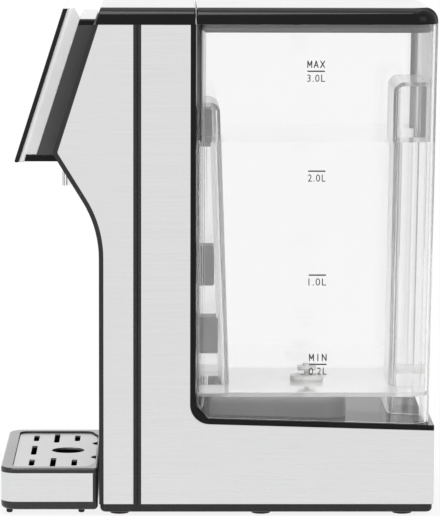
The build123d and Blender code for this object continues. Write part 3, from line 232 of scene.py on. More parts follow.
class StageSizes(bpy.types.PropertyGroup):
    """Camera, floor and light."""

    eye_distance: length_property("Eye distance", "From the machine's right side to the eye", 2.094)
    eye_along: length_property("Eye along", "Place of the eye along the machine", -0.03355)
    eye_height: length_property("Eye height", "Height of the eye", 0.404)
    aim_along: length_property("Aim along", "Place along the machine at the picture's middle", 0.00075)
    aim_height: length_property("Aim height", "Height at the picture's middle", 0.155)
    lens: bpy.props.FloatProperty(name="Lens", description="Focal length in millimetres", default=249.0)
    roll: bpy.props.FloatProperty(
        name="Roll",
        description="Turn of the camera about its own axis",
        default=math.radians(0.16),
        subtype="ANGLE",
        unit="ROTATION",
    )
    floor_size: length_property("Floor size", "Side of the floor", 8.0)
    floor_near: length_property("Floor near", "Reach of the floor's own shading at full share", 0.3)
    floor_far: length_property("Floor far", "Where the floor's own shading ends", 0.7)
    ambient: share_property("Ambient", "Light that comes from all round", 0.62)
    floor_shade: share_property("Floor shade", "Share of the floor's own shading in view", 0.14)
    flag_height: length_property("Flag height", "Height of the grey screens beside the machine", 1.2)
    flag_tone: share_property("Flag tone", "Brightness of the grey screens", 0.15)


def add_node(tree, kind, inputs=None, **settings):
    """One node with its settings, its inputs given as values or as sockets to link."""
    made = tree.nodes.new(kind)
    for key, value in settings.items():
        setattr(made, key, value)
    for key, value in (inputs or {}).items():
        if isinstance(value, bpy.types.NodeSocket):
            tree.links.new(value, made.inputs[key])
        else:
            made.inputs[key].default_value = value
    return made


def new_finish(name, **sockets):
    """Material with one Principled shader, whose even values are set on its own sockets."""
    material = bpy.data.materials.new(name)
    material.use_nodes = True
    tree = material.node_tree
    shader = tree.nodes["Principled BSDF"]
    for key, value in sockets.items():
        shader.inputs[key.replace("_", " ").title().replace("Ior", "IOR")].default_value = value
    return material, tree, shader


def mottle(tree, scale, detail=2.0):
    """Noise on object coordinates, with its own scale in cycles a metre along X, Y and Z."""
    place = add_node(tree, "ShaderNodeTexCoord")
    spread = add_node(tree, "ShaderNodeMapping", {"Vector": place.outputs["Object"], "Scale": scale})
    noise = add_node(
        tree, "ShaderNodeTexNoise", {"Vector": spread.outputs["Vector"], "Scale": 1.0, "Detail": detail}
    )
    return noise.outputs["Fac"]


def spanned(tree, factor, low, high):
    """Noise brought to run from low to high."""
    spread = add_node(
        tree,
        "ShaderNodeMapRange",
        {"Value": factor, "From Min": NOISE_LOW, "From Max": NOISE_HIGH, "To Min": low, "To Max": high},
    )
    return spread.outputs["Result"]


def shaded(tree, factor, colour, depth):
    """Colour that runs from a little darker to a little lighter with the noise."""
    dark = (*[channel * (1 - depth) for channel in colour], 1.0)
    light = (*[min(1.0, channel * (1 + depth)) for channel in colour], 1.0)
    mix = add_node(tree, "ShaderNodeMix", data_type="RGBA")
    tree.links.new(spanned(tree, factor, 0.0, 1.0), mix.inputs[0])
    mix.inputs[6].default_value = dark
    mix.inputs[7].default_value = light
    return mix.outputs[2]


def varied(tree, factor, roughness):
    """Roughness that runs a little to both sides with the noise."""
    return spanned(tree, factor, roughness * (1 - GLOSS_SPREAD), roughness * (1 + GLOSS_SPREAD))


def relief(tree, factor, depth, strength):
    """Small bumps from the noise."""
    bump = add_node(
        tree, "ShaderNodeBump", {"Height": factor, "Distance": depth, "Strength": strength}
    )
    return bump.outputs["Normal"]


def moulded(name, colour, roughness, grain, strength, **sockets):
    """Moulded plastic or rubber: cloudy gloss and a fine grain of the given size."""
    material, tree, shader = new_finish(name, **sockets)
    cloud = mottle(tree, (CLOUD_SCALE,) * 3, CLOUD_DETAIL)
    fine = mottle(tree, (1.0 / grain,) * 3)
    tree.links.new(shaded(tree, cloud, colour, CLOUD_TONE), shader.inputs["Base Color"])
    tree.links.new(varied(tree, cloud, roughness), shader.inputs["Roughness"])
    tree.links.new(relief(tree, fine, grain * GRAIN_DEPTH_SHARE, strength), shader.inputs["Normal"])
    return material


def brushed(name, colour, roughness, scale, tone, **sockets):
    """Metal with streaks or grains of the given scale in tone, gloss and relief."""
    material, tree, shader = new_finish(name, metallic=1.0, **sockets)
    streak = mottle(tree, scale, BRUSH_DETAIL)
    tree.links.new(shaded(tree, streak, colour, tone), shader.inputs["Base Color"])
    tree.links.new(varied(tree, streak, roughness), shader.inputs["Roughness"])
    tree.links.new(relief(tree, streak, BRUSH_DEPTH, BRUSH_STRENGTH), shader.inputs["Normal"])
    return material


def clear(name, colour, ior, roughness, ripple=0.03, smoke=0.0, **sockets):
    """Clear moulding with a faint ripple, or water, with smoke as the light it takes up a metre."""
    material, tree, shader = new_finish(
        name,
        transmission_weight=1.0,
        ior=ior,
        roughness=roughness,
        base_color=(*colour, 1.0),
        **sockets,
    )
    wave = mottle(tree, RIPPLE_SCALE, RIPPLE_DETAIL)
    tree.links.new(relief(tree, wave, RIPPLE_DEPTH, ripple), shader.inputs["Normal"])
    if smoke:
        inside = add_node(tree, "ShaderNodeVolumeAbsorption", {"Density": smoke})
        inside.inputs["Color"].default_value = (0.0, 0.0, 0.0, 1.0)
        tree.links.new(inside.outputs["Volume"], tree.nodes["Material Output"].inputs["Volume"])
    return material


def dress(nodes, material):
    """Gives CAD nodes their material."""
    for name in nodes:
        piece = frame["nodes"][name]
        piece.data.materials.clear()
        piece.data.materials.append(material)


def rounded(corners, radii, steps=6):
    """Closed outlines with round corners.

    Corners come as (..., n, 2) and radii as (n,). At each corner the arc is tangent to both sides: it
    starts one radius times the tangent of half the turn before the corner and sweeps the turn in equal
    steps.
    """
    arrive = corners - np.roll(corners, 1, axis=-2)
    leave = np.roll(corners, -1, axis=-2) - corners
    arrive = arrive / np.linalg.norm(arrive, axis=-1, keepdims=True)
    leave = leave / np.linalg.norm(leave, axis=-1, keepdims=True)
    cross = arrive[..., 0] * leave[..., 1] - arrive[..., 1] * leave[..., 0]
    turn = np.arctan2(cross, (arrive * leave).sum(-1))
    reach = radii * np.tan(np.abs(turn) / 2)
    start = corners - arrive * reach[..., None]
    side = np.sign(turn)[..., None] * np.stack([-arrive[..., 1], arrive[..., 0]], -1)
    angle = turn[..., None] * np.linspace(0.0, 1.0, steps)
    along = np.sin(np.abs(angle)) * radii[:, None]
    aside = (1 - np.cos(angle)) * radii[:, None]
    onward = along[..., None] * arrive[..., None, :] + aside[..., None] * side[..., None, :]
    points = start[..., None, :] + onward
    return points.reshape(*corners.shape[:-2], -1, 2)


def loft(rings):
    """Closed solid through rings of points, (rows, count, 3): side quads and a flat face at each end."""
    rows, count, _ = rings.shape
    index = np.arange(rows * count).reshape(rows, count)
    onward = np.roll(index, -1, axis=1)
    sides = np.stack([index[:-1], onward[:-1], onward[1:], index[1:]], -1).reshape(-1, 4)
    faces = [*sides.tolist(), index[0, ::-1].tolist(), index[-1].tolist()]
    return rings.reshape(-1, 3), faces


def plate(outline, thickness):
    """Flat plate of an outline, standing on its plane."""
    ends = [np.column_stack([outline, np.full(len(outline), level)]) for level in (0.0, thickness)]
    return loft(np.stack(ends))


def hoop(radius, line, thickness, steps=64):
    """Flat ring: a rectangle of line by thickness carried round a circle."""
    angle = np.linspace(0.0, 2 * math.pi, steps, endpoint=False)
    profile = np.array([(0.0, 0.0), (line, 0.0), (line, thickness), (0.0, thickness)])
    reach = radius - line + profile[:, 0]
    grid = (steps, len(profile))
    points = np.stack(
        [
            np.outer(np.cos(angle), reach),
            np.outer(np.sin(angle), reach),
            np.broadcast_to(profile[:, 1], grid),
        ],
        -1,
    )
    index = np.arange(steps * len(profile)).reshape(grid)
    onward, over = np.roll(index, -1, axis=0), np.roll(index, -1, axis=1)
    quads = np.stack([index, onward, np.roll(onward, -1, axis=1), over], -1)
    return points.reshape(-1, 3), quads.reshape(-1, 4).tolist()


def stadium(length, width, steps=8):
    """Outline of a bar with round ends, its middle at the origin."""
    half = length / 2 - width / 2
    bend = np.linspace(-math.pi / 2, math.pi / 2, steps)
    right = np.column_stack([half + np.cos(bend) * width / 2, np.sin(bend) * width / 2])
    return np.concatenate([right, -right])


def joined(parts):
    """One list of points and one of faces from several."""
    points, faces, count = [], [], 0
    for part_points, part_faces in parts:
        points.append(part_points)
        faces.extend([[corner + count for corner in face] for face in part_faces])
        count += len(part_points)
    return np.concatenate(points), faces


def placed(part, matrix):
    """Points of a part moved by a 4 by 4 matrix."""
    points, faces = part
    turn = np.array(matrix)
    return points @ turn[:3, :3].T + turn[:3, 3], faces


def shifted(part, across, up):
    """Part moved in its own plane."""
    points, faces = part
    return points + np.array([across, up, 0.0]), faces


def lettering(words, height, thickness, width=None):
    """Words as solid letters, fitted to a width if there is one, their middle at the origin."""
    curve = bpy.data.curves.new("lettering", "FONT")
    curve.body = words
    curve.size = height / FIGURE_SHARE
    curve.align_x = "CENTER"
    curve.align_y = "CENTER"
    curve.extrude = thickness / 2
    curve.space_character = FITTED_SPACE if width else 1.0
    curve.resolution_u = CURVE_STEPS
    holder = bpy.data.objects.new("lettering", curve)
    bpy.context.scene.collection.objects.link(holder)
    bpy.context.view_layer.update()
    finished = holder.evaluated_get(bpy.context.evaluated_depsgraph_get())
    mesh = bpy.data.meshes.new_from_object(finished)
    merge = bmesh.new()
    merge.from_mesh(mesh)
    bmesh.ops.remove_doubles(merge, verts=merge.verts, dist=thickness * MERGE_SHARE)
    points = np.array([vertex.co for vertex in merge.verts])
    merge.verts.index_update()
    faces = [[corner.index for corner in face.verts] for face in merge.faces]
    merge.free()
    bpy.data.objects.remove(holder)
    bpy.data.meshes.remove(mesh)
    low, high = points.min(0), points.max(0)
    points -= (low + high) / 2
    points[:, 2] += thickness / 2
    if width:
        points[:, 0] *= width / (high[0] - low[0])
    return points, faces


def drawn(word, size, stroke, thickness):
    """Word of straight strokes: each letter is bars between points of its own cell of the given size."""
    cell = np.array(size) - stroke
    parts = []
    for place, letter in enumerate(word):
        for start, end in STROKES[letter]:
            start, end = np.array(start) * cell, np.array(end) * cell
            length = np.linalg.norm(end - start)
            along = (end - start) / length
            bar = stadium(length + stroke, stroke) @ np.array([along, (-along[1], along[0])])
            shift = (place - (len(word) - 1) / 2) * size[0] * LETTER_PITCH
            parts.append(plate(bar + (start + end - cell) / 2 + (shift, 0.0), thickness))
    return joined(parts)


def make_piece(name, part, material, body, smooth=False):
    """New piece of the object, with its place in its mesh, riding on a body."""
    points, faces = part
    mesh = bpy.data.meshes.new(name)
    mesh.from_pydata(points, [], faces)
    mesh.materials.append(material)
    if smooth:
        mesh.shade_smooth()
    piece = bpy.data.objects.new(name, mesh)
    bpy.context.scene.collection.objects.link(piece)
    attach(piece, body)
    return piece


def basis(across, up, out, origin):
    """Matrix that lays a flat piece on a plane given by its three directions and its origin."""
    matrix = Matrix((across, up, out)).transposed().to_4x4()
    matrix.translation = origin
    return matrix


class DISPENSER_OT_mouldings(bpy.types.Operator):
    """Finish the plastic, rubber and silicone mouldings"""

    bl_idname = "dispenser.mouldings"
    bl_label = "Finish mouldings"

    # Roughness, size of the grain, its strength and further sockets of each slot's finish
    LOOKS = {
        "gloss_black": (0.09, 4.0 * MM, 0.012, {"specular_ior_level": 0.1}),
        "satin_black": (0.34, 0.35 * MM, 0.12, {"specular_ior_level": 0.15}),
        "fitting_grey": (0.42, 0.35 * MM, 0.12, {"specular_ior_level": 0.15}),
        "dark_grey": (0.42, 0.35 * MM, 0.14, {"specular_ior_level": 0.15}),
        "liner_grey": (0.4, 0.5 * MM, 0.1, {}),
        "black_glass": (0.035, 6.0 * MM, 0.006, {"specular_ior_level": 0.2}),
        "silicone": (0.55, 0.3 * MM, 0.1, {}),
        "seal_grey": (0.55, 0.3 * MM, 0.1, {}),
        "rubber": (0.7, 0.25 * MM, 0.25, {}),
        "hose": (0.45, 0.6 * MM, 0.08, {}),
        "white_plastic": (0.4, 0.4 * MM, 0.1, {}),
        "moulded_resin": (0.25, 0.5 * MM, 0.1, {}),
    }
    TRAY_LOOK = (0.14, 0.35 * MM, 0.05)
    TRAY_SPECULAR = 0.3
    # Hook and sensor block: a lighter copy of fitting grey, painted light for their brighter look seen
    # through the tank
    PAINTED_LIGHT_LOOK = (0.42, 0.35 * MM, 0.12)
    PAINTED_LIGHT_SHARE = 1.45

    def execute(self, context):
        colours = context.scene.dispenser_colours
        for slot, (*look, more) in self.LOOKS.items():
            dress(SLOT_NODES[slot], moulded(slot, getattr(colours, slot), *look, **more))
        tray = moulded(
            "tray_black", colours.satin_black, *self.TRAY_LOOK, specular_ior_level=self.TRAY_SPECULAR
        )
        dress(["drip_tray"], tray)
        # Painted light: the hook and the sensor block get a lighter copy of fitting grey
        pale = [channel * self.PAINTED_LIGHT_SHARE for channel in colours.fitting_grey]
        dress(["tank_hook", "sensor_housing"], moulded("fitting_pale", pale, *self.PAINTED_LIGHT_LOOK))
        return {"FINISHED"}


class DISPENSER_OT_metals(bpy.types.Operator):
    """Finish the steel, aluminium and brass pieces"""

    bl_idname = "dispenser.metals"
    bl_label = "Finish metals"

    # Slot, roughness, cycles a metre of the streaks, depth of their tone and further sockets
    LOOKS = {
        "side_steel": ("brushed_steel", 0.3, (14.0, 14.0, 2200.0), 0.02, {}),
        "grille_steel": (
            "brushed_steel",
            0.32,
            (2200.0, 14.0, 14.0),
            0.03,
            {"specular_tint": (0.6, 0.6, 0.6, 1.0)},
        ),
        "plain_steel": ("plain_steel", 0.35, (400.0, 400.0, 400.0), 0.03, {}),
        "cast_aluminium": ("cast_aluminium", 0.5, (900.0, 900.0, 900.0), 0.08, {}),
        "brass": ("brass", 0.3, (20.0, 800.0, 800.0), 0.03, {}),
    }
    OWN_NODES = {"grille_steel": ["drip_grille"]}

    def execute(self, context):
        colours = context.scene.dispenser_colours
        for name, (slot, *look, more) in self.LOOKS.items():
            material = brushed(name, getattr(colours, slot), *look, **more)
            dress(self.OWN_NODES.get(name, SLOT_NODES[slot]), material)
        return {"FINISHED"}


class DISPENSER_OT_boards(bpy.types.Operator):
    """Finish the circuit boards"""

    bl_idname = "dispenser.boards"
    bl_label = "Finish circuit boards"

    ROUGHNESS = 0.35
    TRACK_SCALE, TRACK_WIDTH = 260.0, 0.03
    DARK_SHARE, TRACK_SHARE = 0.8, 1.5

    def execute(self, context):
        colour = context.scene.dispenser_colours.circuit_board
        material, tree, shader = new_finish("circuit_board", roughness=self.ROUGHNESS)
        place = add_node(tree, "ShaderNodeTexCoord")
        tracks = add_node(
            tree,
            "ShaderNodeTexBrick",
            {
                "Vector": place.outputs["Object"],
                "Scale": self.TRACK_SCALE,
                "Mortar Size": self.TRACK_WIDTH,
            },
        )
        tones = {"Color1": 1.0, "Color2": self.DARK_SHARE, "Mortar": self.TRACK_SHARE}
        for name, share in tones.items():
            tracks.inputs[name].default_value = (*[channel * share for channel in colour], 1.0)
        tree.links.new(tracks.outputs["Color"], shader.inputs["Base Color"])
        dress(SLOT_NODES["circuit_board"], material)
        return {"FINISHED"}


class DISPENSER_OT_clear_pieces(bpy.types.Operator):
    """Finish the tank, the clear panel and the nozzle"""

    bl_idname = "dispenser.clear_pieces"
    bl_label = "Finish clear pieces"

    # Place of each tone band of the panel, from the housing to the glass, and its share of the colour;
    # the band of full share near the glass is a painted highlight
    TONE_BANDS = ((0.0, 0.95), (0.66, 0.9), (0.72, 1.0), (0.84, 1.0), (0.9, 0.8), (1.0, 0.6))
    PANEL_LOOK = {"ior": ACRYLIC_IOR, "roughness": 0.12, "transmission_weight": 0.2}
    HAZE = {"sheen_weight": 1.0, "sheen_roughness": 0.5, "sheen_tint": (0.6, 0.6, 0.6, 1.0)}
    TANK_SMOKE = 7.0
    NOZZLE_ROUGHNESS = 0.02

    def edge_lit(self, tilt, colour):
        """Milky acrylic in tone bands from the housing to the glass, with a painted highlight: a bright
        band near the glass.
        """
        material, tree, shader = new_finish("edge_lit_acrylic", **self.PANEL_LOOK)
        out = np.array([0.0, -math.cos(tilt), math.sin(tilt)])
        points = np.array([vertex.co for vertex in frame["nodes"]["light_panel"].data.vertices])
        reach = points @ out
        place = add_node(tree, "ShaderNodeTexCoord")
        along = add_node(
            tree,
            "ShaderNodeVectorMath",
            {0: place.outputs["Object"], 1: out.tolist()},
            operation="DOT_PRODUCT",
        )
        share = add_node(
            tree,
            "ShaderNodeMapRange",
            {"Value": along.outputs["Value"], "From Min": reach.min(), "From Max": reach.max()},
        )
        tone_ramp = add_node(tree, "ShaderNodeValToRGB", {"Fac": share.outputs["Result"]})
        ramp = tone_ramp.color_ramp
        for position, _ in self.TONE_BANDS[1:-1]:
            ramp.elements.new(position)
        for stop, (position, tone) in zip(ramp.elements, self.TONE_BANDS):
            stop.position = position
            stop.color = (*[channel * tone for channel in colour], 1.0)
        tree.links.new(tone_ramp.outputs["Color"], shader.inputs["Base Color"])
        return material

    def execute(self, context):
        colours = context.scene.dispenser_colours
        tank = clear("clear_tank", colours.clear_tank, TANK_IOR, 0.0, smoke=self.TANK_SMOKE, **self.HAZE)
        nozzle = clear("clear_acrylic", colours.clear_acrylic, ACRYLIC_IOR, self.NOZZLE_ROUGHNESS)
        dress(SLOT_NODES["clear_tank"], tank)
        dress(SLOT_NODES["clear_acrylic"], nozzle)
        # The light panel gets a painted highlight: a bright band near the glass
        dress(["light_panel"], self.edge_lit(context.scene.dispenser_touch.tilt, colours.clear_acrylic))
        for name in SLOT_NODES["clear_tank"] + SLOT_NODES["clear_acrylic"]:
            frame["nodes"][name].visible_shadow = False
        return {"FINISHED"}


class DISPENSER_OT_water(bpy.types.Operator):
    """Fill the tank with water up to the set level"""

    bl_idname = "dispenser.water"
    bl_label = "Fill with water"

    ROWS = 12

    def execute(self, context):
        sizes = context.scene.dispenser_tank
        low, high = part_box("tank")
        wall = sizes.wall - sizes.overlap
        half = high.x - wall
        front = low.y + wall
        level = np.linspace(sizes.floor - sizes.overlap, sizes.level, self.ROWS)
        back = high.y - sizes.lean * (high.z - level) / (high.z - sizes.seat)
        share = (sizes.channel_top - level) / (sizes.channel_top - sizes.floor)
        channel = low.y + sizes.channel_depth + sizes.channel_lean * share + wall
        grip = back - sizes.grip_depth - wall
        inner_channel = sizes.channel_half + wall
        inner_grip = sizes.grip_half + wall
        # Corners of the right half at each level, from the front channel to the grip, with their radii
        around = [
            (inner_channel, channel, sizes.channel_radius + wall),
            (inner_channel, front, sizes.edge_radius),
            (half, front, sizes.front_radius - wall),
            (half, back - wall, sizes.rear_radius - wall),
            (inner_grip, back - wall, sizes.edge_radius),
            (inner_grip, grip, sizes.channel_radius + wall),
        ]
        right = [(x + 0 * level, y + 0 * level) for x, y, _ in around]
        left = [(-x, y) for x, y in reversed(right)]
        radii = [radius for _, _, radius in around]
        corners = np.stack([np.stack(corner, -1) for corner in right + left], -2)
        outlines = rounded(corners, np.array(radii + radii[::-1]))
        heights = np.broadcast_to(level[:, None, None], (*outlines.shape[:2], 1))
        solid = loft(np.concatenate([outlines, heights], -1))
        liquid = clear("water", context.scene.dispenser_colours.water, WATER_IOR, 0.0, ripple=0.0)
        water = make_piece("water", solid, liquid, "tank")
        water.visible_shadow = False
        return {"FINISHED"}


class DISPENSER_OT_litre_scale(bpy.types.Operator):
    """Print the litre scale on the tank's right side"""

    bl_idname = "dispenser.litre_scale"
    bl_label = "Print litre scale"

    def execute(self, context):
        sizes = context.scene.dispenser_scale
        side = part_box("tank")[1].x
        marks = [
            (sizes.level_full, "MAX", "3.0L"),
            (sizes.level_two, "", "2.0L"),
            (sizes.level_one, "", "1.0L"),
            (sizes.level_least, "MIN", "0.2L"),
        ]
        line = plate(stadium(sizes.line_length, sizes.line_width), sizes.ink)
        parts = []
        for level, above, below in marks:
            back = sizes.lean * (sizes.level_full - level) / (sizes.level_full - sizes.level_least)
            parts.append(shifted(line, back, level))
            figures = lettering(below, sizes.letters, sizes.ink, width=sizes.line_length)
            parts.append(shifted(figures, back, level - sizes.letter_gap))
            if above:
                cell = sizes.line_length / ((len(above) - 1) * LETTER_PITCH + 1)
                word = drawn(above, (cell, sizes.letters), sizes.stroke, sizes.ink)
                parts.append(shifted(word, back, level + sizes.letter_gap))
        upright = basis((0, 1, 0), (0, 0, 1), (1, 0, 0), (side, sizes.middle, 0.0))
        ink = moulded("print_black", context.scene.dispenser_colours.print_black, *INK_FINISH)
        scale = make_piece("litre_scale", placed(joined(parts), upright), ink, "tank")
        return {"FINISHED"}


class DISPENSER_OT_touch_symbols(bpy.types.Operator):
    """Print the keys and the display on the touch glass"""

    bl_idname = "dispenser.touch_symbols"
    bl_label = "Print touch symbols"

    SEGMENTS = {"9": "abcdfg", "5": "acdfg"}
    SHOWN = ((-0.5, "9"), (0.5, "5"))
    DIGIT_PITCH = 1.7
    KEYS = (("45", "65", "85", "95"), ("100", "150", "250", "350"))
    # Heights and places over the middle of the glass, in key pitches
    KEY_RISE, DIGIT_RISE, DROP_RISE = 0.25, 1.32, -1.6
    UNITS = {"°C": (0.62, 1.44), "ml": (0.62, 1.2)}
    DROP_SHARE, DROP_STEPS = 0.55, 48

    def digit(self, sizes, figure):
        """Seven-segment figure: bars along the sides of two squares, one on the other."""
        high, wide = sizes.digit_height / 2, sizes.digit_width / 2
        flat = stadium(sizes.digit_width - sizes.segment, sizes.segment)
        tall = stadium(high - sizes.segment, sizes.segment)[:, ::-1] * (-1, 1)
        places = {
            "a": (flat, 0.0, high),
            "b": (tall, wide, high / 2),
            "c": (tall, wide, -high / 2),
            "d": (flat, 0.0, -high),
            "e": (tall, -wide, -high / 2),
            "f": (tall, -wide, high / 2),
            "g": (flat, 0.0, 0.0),
        }
        bars = [places[letter] for letter in self.SEGMENTS[figure]]
        return joined([shifted(plate(bar, sizes.ink), across, up) for bar, across, up in bars])

    def execute(self, context):
        sizes = context.scene.dispenser_touch
        low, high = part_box("touch_glass")
        out = Vector((0, -math.cos(sizes.tilt), math.sin(sizes.tilt)))
        up = Vector((0, math.sin(sizes.tilt), math.cos(sizes.tilt)))
        glass = np.array([vertex.co for vertex in frame["nodes"]["touch_glass"].data.vertices])
        face = (glass @ np.array(out)).max()
        middle = Vector((0, (low.y + high.y) / 2, (low.z + high.z) / 2))
        origin = middle + out * (face - middle.dot(out))
        pitch = sizes.key_pitch
        ring = hoop(sizes.key_radius, sizes.key_line, sizes.ink)
        parts = []
        for row, words in enumerate(self.KEYS):
            for column, word in enumerate(words):
                across = (column - (len(words) - 1) / 2) * pitch
                rise = (self.KEY_RISE - row) * pitch
                parts.append(shifted(ring, across, rise))
                parts.append(shifted(lettering(word, sizes.letters, sizes.ink), across, rise))
        for place, figure in self.SHOWN:
            across = place * sizes.digit_width * self.DIGIT_PITCH
            parts.append(shifted(self.digit(sizes, figure), across, self.DIGIT_RISE * pitch))
        for unit, (across, rise) in self.UNITS.items():
            sign = lettering(unit, sizes.letters, sizes.ink)
            parts.append(shifted(sign, across * pitch, rise * pitch))
        # Drop: the sine times the squared sine of half the angle across, the cosine up
        angle = np.linspace(0.0, 2 * math.pi, self.DROP_STEPS, endpoint=False)
        curve = np.column_stack([np.sin(angle) * np.sin(angle / 2) ** 2, np.cos(angle)])
        drop = plate(curve[::-1] * sizes.key_radius * self.DROP_SHARE, sizes.ink)
        parts.append(shifted(drop, 0.0, self.DROP_RISE * pitch))
        start_key = hoop(sizes.key_radius, 2 * sizes.key_line, sizes.ink)
        parts.append(shifted(start_key, 0.0, self.DROP_RISE * pitch))
        pale = moulded("print_pale", context.scene.dispenser_colours.print_pale, *INK_FINISH)
        matrix = basis((1, 0, 0), up, out, origin)
        symbols = make_piece("touch_symbols", placed(joined(parts), matrix), pale, "machine")
        return {"FINISHED"}


class DISPENSER_OT_stage(bpy.types.Operator):
    """Set up the floor, the light and the camera"""

    bl_idname = "dispenser.stage"
    bl_label = "Set up stage"

    # Place in metres, side in metres and power in watts of each lamp
    LAMPS = {
        "key": ((1.5, -1.3, 1.6), 1.3, 17.0),
        "fill": ((1.4, 1.7, 1.1), 1.2, 9.0),
        "above": ((-0.2, 0.0, 2.0), 1.6, 16.0),
        "behind": ((-1.8, 0.1, 0.7), 1.4, 2.0),
        "sheen": ((0.75, -0.4, 2.1), 1.1, 50.0),
    }
    LAMP_AIM = (0.0, 0.0, 0.15)
    # Both lower corners of each grey screen
    FLAGS = {
        "rear_flag": ((-1.2, 0.25), (-1.2, 1.1)),
        "front_flag": ((-1.2, -1.1), (-1.2, -0.5)),
    }
    FLOOR_ROWS = 9
    FLOOR_DROP = 0.05 * MM
    FLOOR_PAINT = (0.9, 0.9, 0.9, 1.0)
    VIEW_REACH = 100.0
    BOUNCES = {"max_bounces": 32, "glossy_bounces": 24, "transmission_bounces": 32}

    def seen(self, tree):
        """1 for what the eye sees straight, in a mirror or through glass, and 0 for other light."""
        path = add_node(tree, "ShaderNodeLightPath")
        names = ("Is Camera Ray", "Is Glossy Ray", "Is Transmission Ray")
        total = path.outputs[names[0]]
        for name in names[1:]:
            adder = add_node(tree, "ShaderNodeMath", operation="ADD", use_clamp=True)
            tree.links.new(total, adder.inputs[0])
            tree.links.new(path.outputs[name], adder.inputs[1])
            total = adder.outputs[0]
        return total

    def light_up(self, sizes):
        """White surroundings for the eye, softer light on the machine, and lamps, one only for gloss."""
        scene = bpy.context.scene
        scene.world = bpy.data.worlds.new("studio")
        scene.world.use_nodes = True
        tree = scene.world.node_tree
        strength = add_node(
            tree,
            "ShaderNodeMapRange",
            {"Value": self.seen(tree), "To Min": sizes.ambient, "To Max": 1.0},
        )
        sky = tree.nodes["Background"]
        sky.inputs["Color"].default_value = (1.0, 1.0, 1.0, 1.0)
        tree.links.new(strength.outputs["Result"], sky.inputs["Strength"])
        for name, (place, size, power) in self.LAMPS.items():
            lamp = bpy.data.lights.new(name, "AREA")
            lamp.energy = power
            lamp.size = size
            holder = bpy.data.objects.new(name, lamp)
            holder.location = place
            aim = Vector(self.LAMP_AIM) - Vector(place)
            holder.rotation_euler = aim.to_track_quat("-Z", "Y").to_euler()
            holder.visible_camera = False
            holder.visible_transmission = False
            holder.visible_diffuse = name != "sheen"
            scene.collection.objects.link(holder)

    def hang_flags(self, sizes):
        """Grey screens, seen only in mirrors and through glass, that draw the edges of clear pieces."""
        material = bpy.data.materials.new("flag")
        material.use_nodes = True
        tree = material.node_tree
        tree.nodes.remove(tree.nodes["Principled BSDF"])
        glow = add_node(tree, "ShaderNodeEmission", {"Strength": sizes.flag_tone})
        tree.links.new(glow.outputs["Emission"], tree.nodes["Material Output"].inputs["Surface"])
        for name, (start, end) in self.FLAGS.items():
            high = sizes.flag_height
            corners = [(*start, 0.0), (*end, 0.0), (*end, high), (*start, high)]
            mesh = bpy.data.meshes.new(name)
            mesh.from_pydata(corners, [], [(0, 1, 2, 3)])
            mesh.materials.append(material)
            flag = bpy.data.objects.new(name, mesh)
            bpy.context.scene.collection.objects.link(flag)
            flag.visible_camera = False
            flag.visible_diffuse = False
            flag.visible_shadow = False

    def lay_floor(self, sizes):
        """Pale floor, white to the eye but for a share of its own shading."""
        half = sizes.floor_size / 2
        across = np.linspace(-half, half, self.FLOOR_ROWS)
        x, y = np.meshgrid(across, across, indexing="ij")
        points = np.stack([x, y, np.full_like(x, -self.FLOOR_DROP)], -1).reshape(-1, 3)
        index = np.arange(x.size).reshape(x.shape)
        quads = np.stack([index[:-1, :-1], index[1:, :-1], index[1:, 1:], index[:-1, 1:]], -1)
        mesh = bpy.data.meshes.new("floor")
        mesh.from_pydata(points, [], quads.reshape(-1, 4).tolist())
        material = bpy.data.materials.new("floor")
        material.use_nodes = True
        tree = material.node_tree
        tree.nodes.remove(tree.nodes["Principled BSDF"])
        paint = add_node(tree, "ShaderNodeBsdfDiffuse")
        paint.inputs["Color"].default_value = self.FLOOR_PAINT
        glow = add_node(tree, "ShaderNodeEmission", {"Strength": 1.0})
        place = add_node(tree, "ShaderNodeTexCoord")
        reach = add_node(tree, "ShaderNodeVectorMath", {0: place.outputs["Object"]}, operation="LENGTH")
        white = add_node(
            tree,
            "ShaderNodeMapRange",
            {
                "Value": reach.outputs["Value"],
                "From Min": sizes.floor_near,
                "From Max": sizes.floor_far,
                "To Min": 1.0 - sizes.floor_shade,
                "To Max": 1.0,
            },
            interpolation_type="SMOOTHSTEP",
        )
        share = add_node(
            tree,
            "ShaderNodeMath",
            {0: self.seen(tree), 1: white.outputs["Result"]},
            operation="MULTIPLY",
        )
        mix = add_node(tree, "ShaderNodeMixShader")
        tree.links.new(share.outputs["Value"], mix.inputs[0])
        tree.links.new(paint.outputs["BSDF"], mix.inputs[1])
        tree.links.new(glow.outputs["Emission"], mix.inputs[2])
        tree.links.new(mix.outputs["Shader"], tree.nodes["Material Output"].inputs["Surface"])
        mesh.materials.append(material)
        floor = bpy.data.objects.new("floor", mesh)
        bpy.context.scene.collection.objects.link(floor)

    def place_camera(self, sizes):
        """Camera to the machine's right, a little above it, aimed at the middle of its side."""
        near = cad_box[1].x
        eye = Vector((near + sizes.eye_distance, sizes.eye_along, sizes.eye_height))
        aim = Vector((near, sizes.aim_along, sizes.aim_height))
        camera = bpy.data.objects.new("camera", bpy.data.cameras.new("camera"))
        camera.data.lens = sizes.lens
        camera.data.clip_end = self.VIEW_REACH
        camera.location = eye
        turn = (aim - eye).to_track_quat("-Z", "Y") @ Quaternion((0, 0, 1), sizes.roll)
        camera.rotation_euler = turn.to_euler()
        bpy.context.scene.collection.objects.link(camera)
        bpy.context.scene.camera = camera

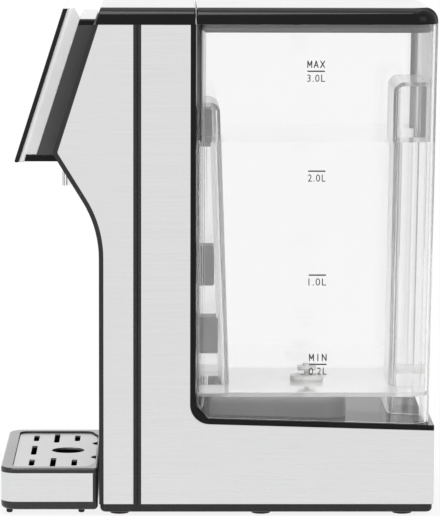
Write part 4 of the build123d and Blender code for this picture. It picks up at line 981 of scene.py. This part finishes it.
    def execute(self, context):
        sizes = context.scene.dispenser_stage
        context.scene.view_settings.view_transform = "Standard"
        for kind, count in self.BOUNCES.items():
            setattr(context.scene.cycles, kind, count)
        self.light_up(sizes)
        self.hang_flags(sizes)
        self.lay_floor(sizes)
        self.place_camera(sizes)
        return {"FINISHED"}


OPERATORS = (
    DISPENSER_OT_mouldings,
    DISPENSER_OT_metals,
    DISPENSER_OT_boards,
    DISPENSER_OT_clear_pieces,
    DISPENSER_OT_water,
    DISPENSER_OT_litre_scale,
    DISPENSER_OT_touch_symbols,
    DISPENSER_OT_stage,
)
GROUPS = {
    "dispenser_colours": DispenserColours,
    "dispenser_tank": TankSizes,
    "dispenser_scale": ScaleSizes,
    "dispenser_touch": TouchSizes,
    "dispenser_stage": StageSizes,
}


class DISPENSER_PT_panel(bpy.types.Panel):
    """Lists the dispenser's operators and sizes"""

    bl_idname = "DISPENSER_PT_panel"
    bl_label = "Hot water dispenser"
    bl_space_type = "VIEW_3D"
    bl_region_type = "UI"
    bl_category = "Dispenser"

    def draw(self, context):
        for operator in OPERATORS:
            self.layout.operator(operator.bl_idname)
        for name, group in GROUPS.items():
            box = self.layout.box()
            for key in group.__annotations__:
                box.prop(getattr(context.scene, name), key)


CLASSES = (*GROUPS.values(), *OPERATORS, DISPENSER_PT_panel)


def register():
    """Registers the classes and hangs the groups of sizes and colours on the scene."""
    for cls in CLASSES:
        bpy.utils.register_class(cls)
    for name, group in GROUPS.items():
        setattr(bpy.types.Scene, name, bpy.props.PointerProperty(type=group))


def unregister():
    """Takes back what register did."""
    for name in GROUPS:
        delattr(bpy.types.Scene, name)
    for cls in reversed(CLASSES):
        bpy.utils.unregister_class(cls)


def main():
    """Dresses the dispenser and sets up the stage."""
    register()
    bpy.ops.dispenser.mouldings()
    bpy.ops.dispenser.metals()
    bpy.ops.dispenser.boards()
    bpy.ops.dispenser.clear_pieces()
    bpy.ops.dispenser.water()
    bpy.ops.dispenser.litre_scale()
    bpy.ops.dispenser.touch_symbols()
    bpy.ops.dispenser.stage()


if __name__ == "__main__":
    main()
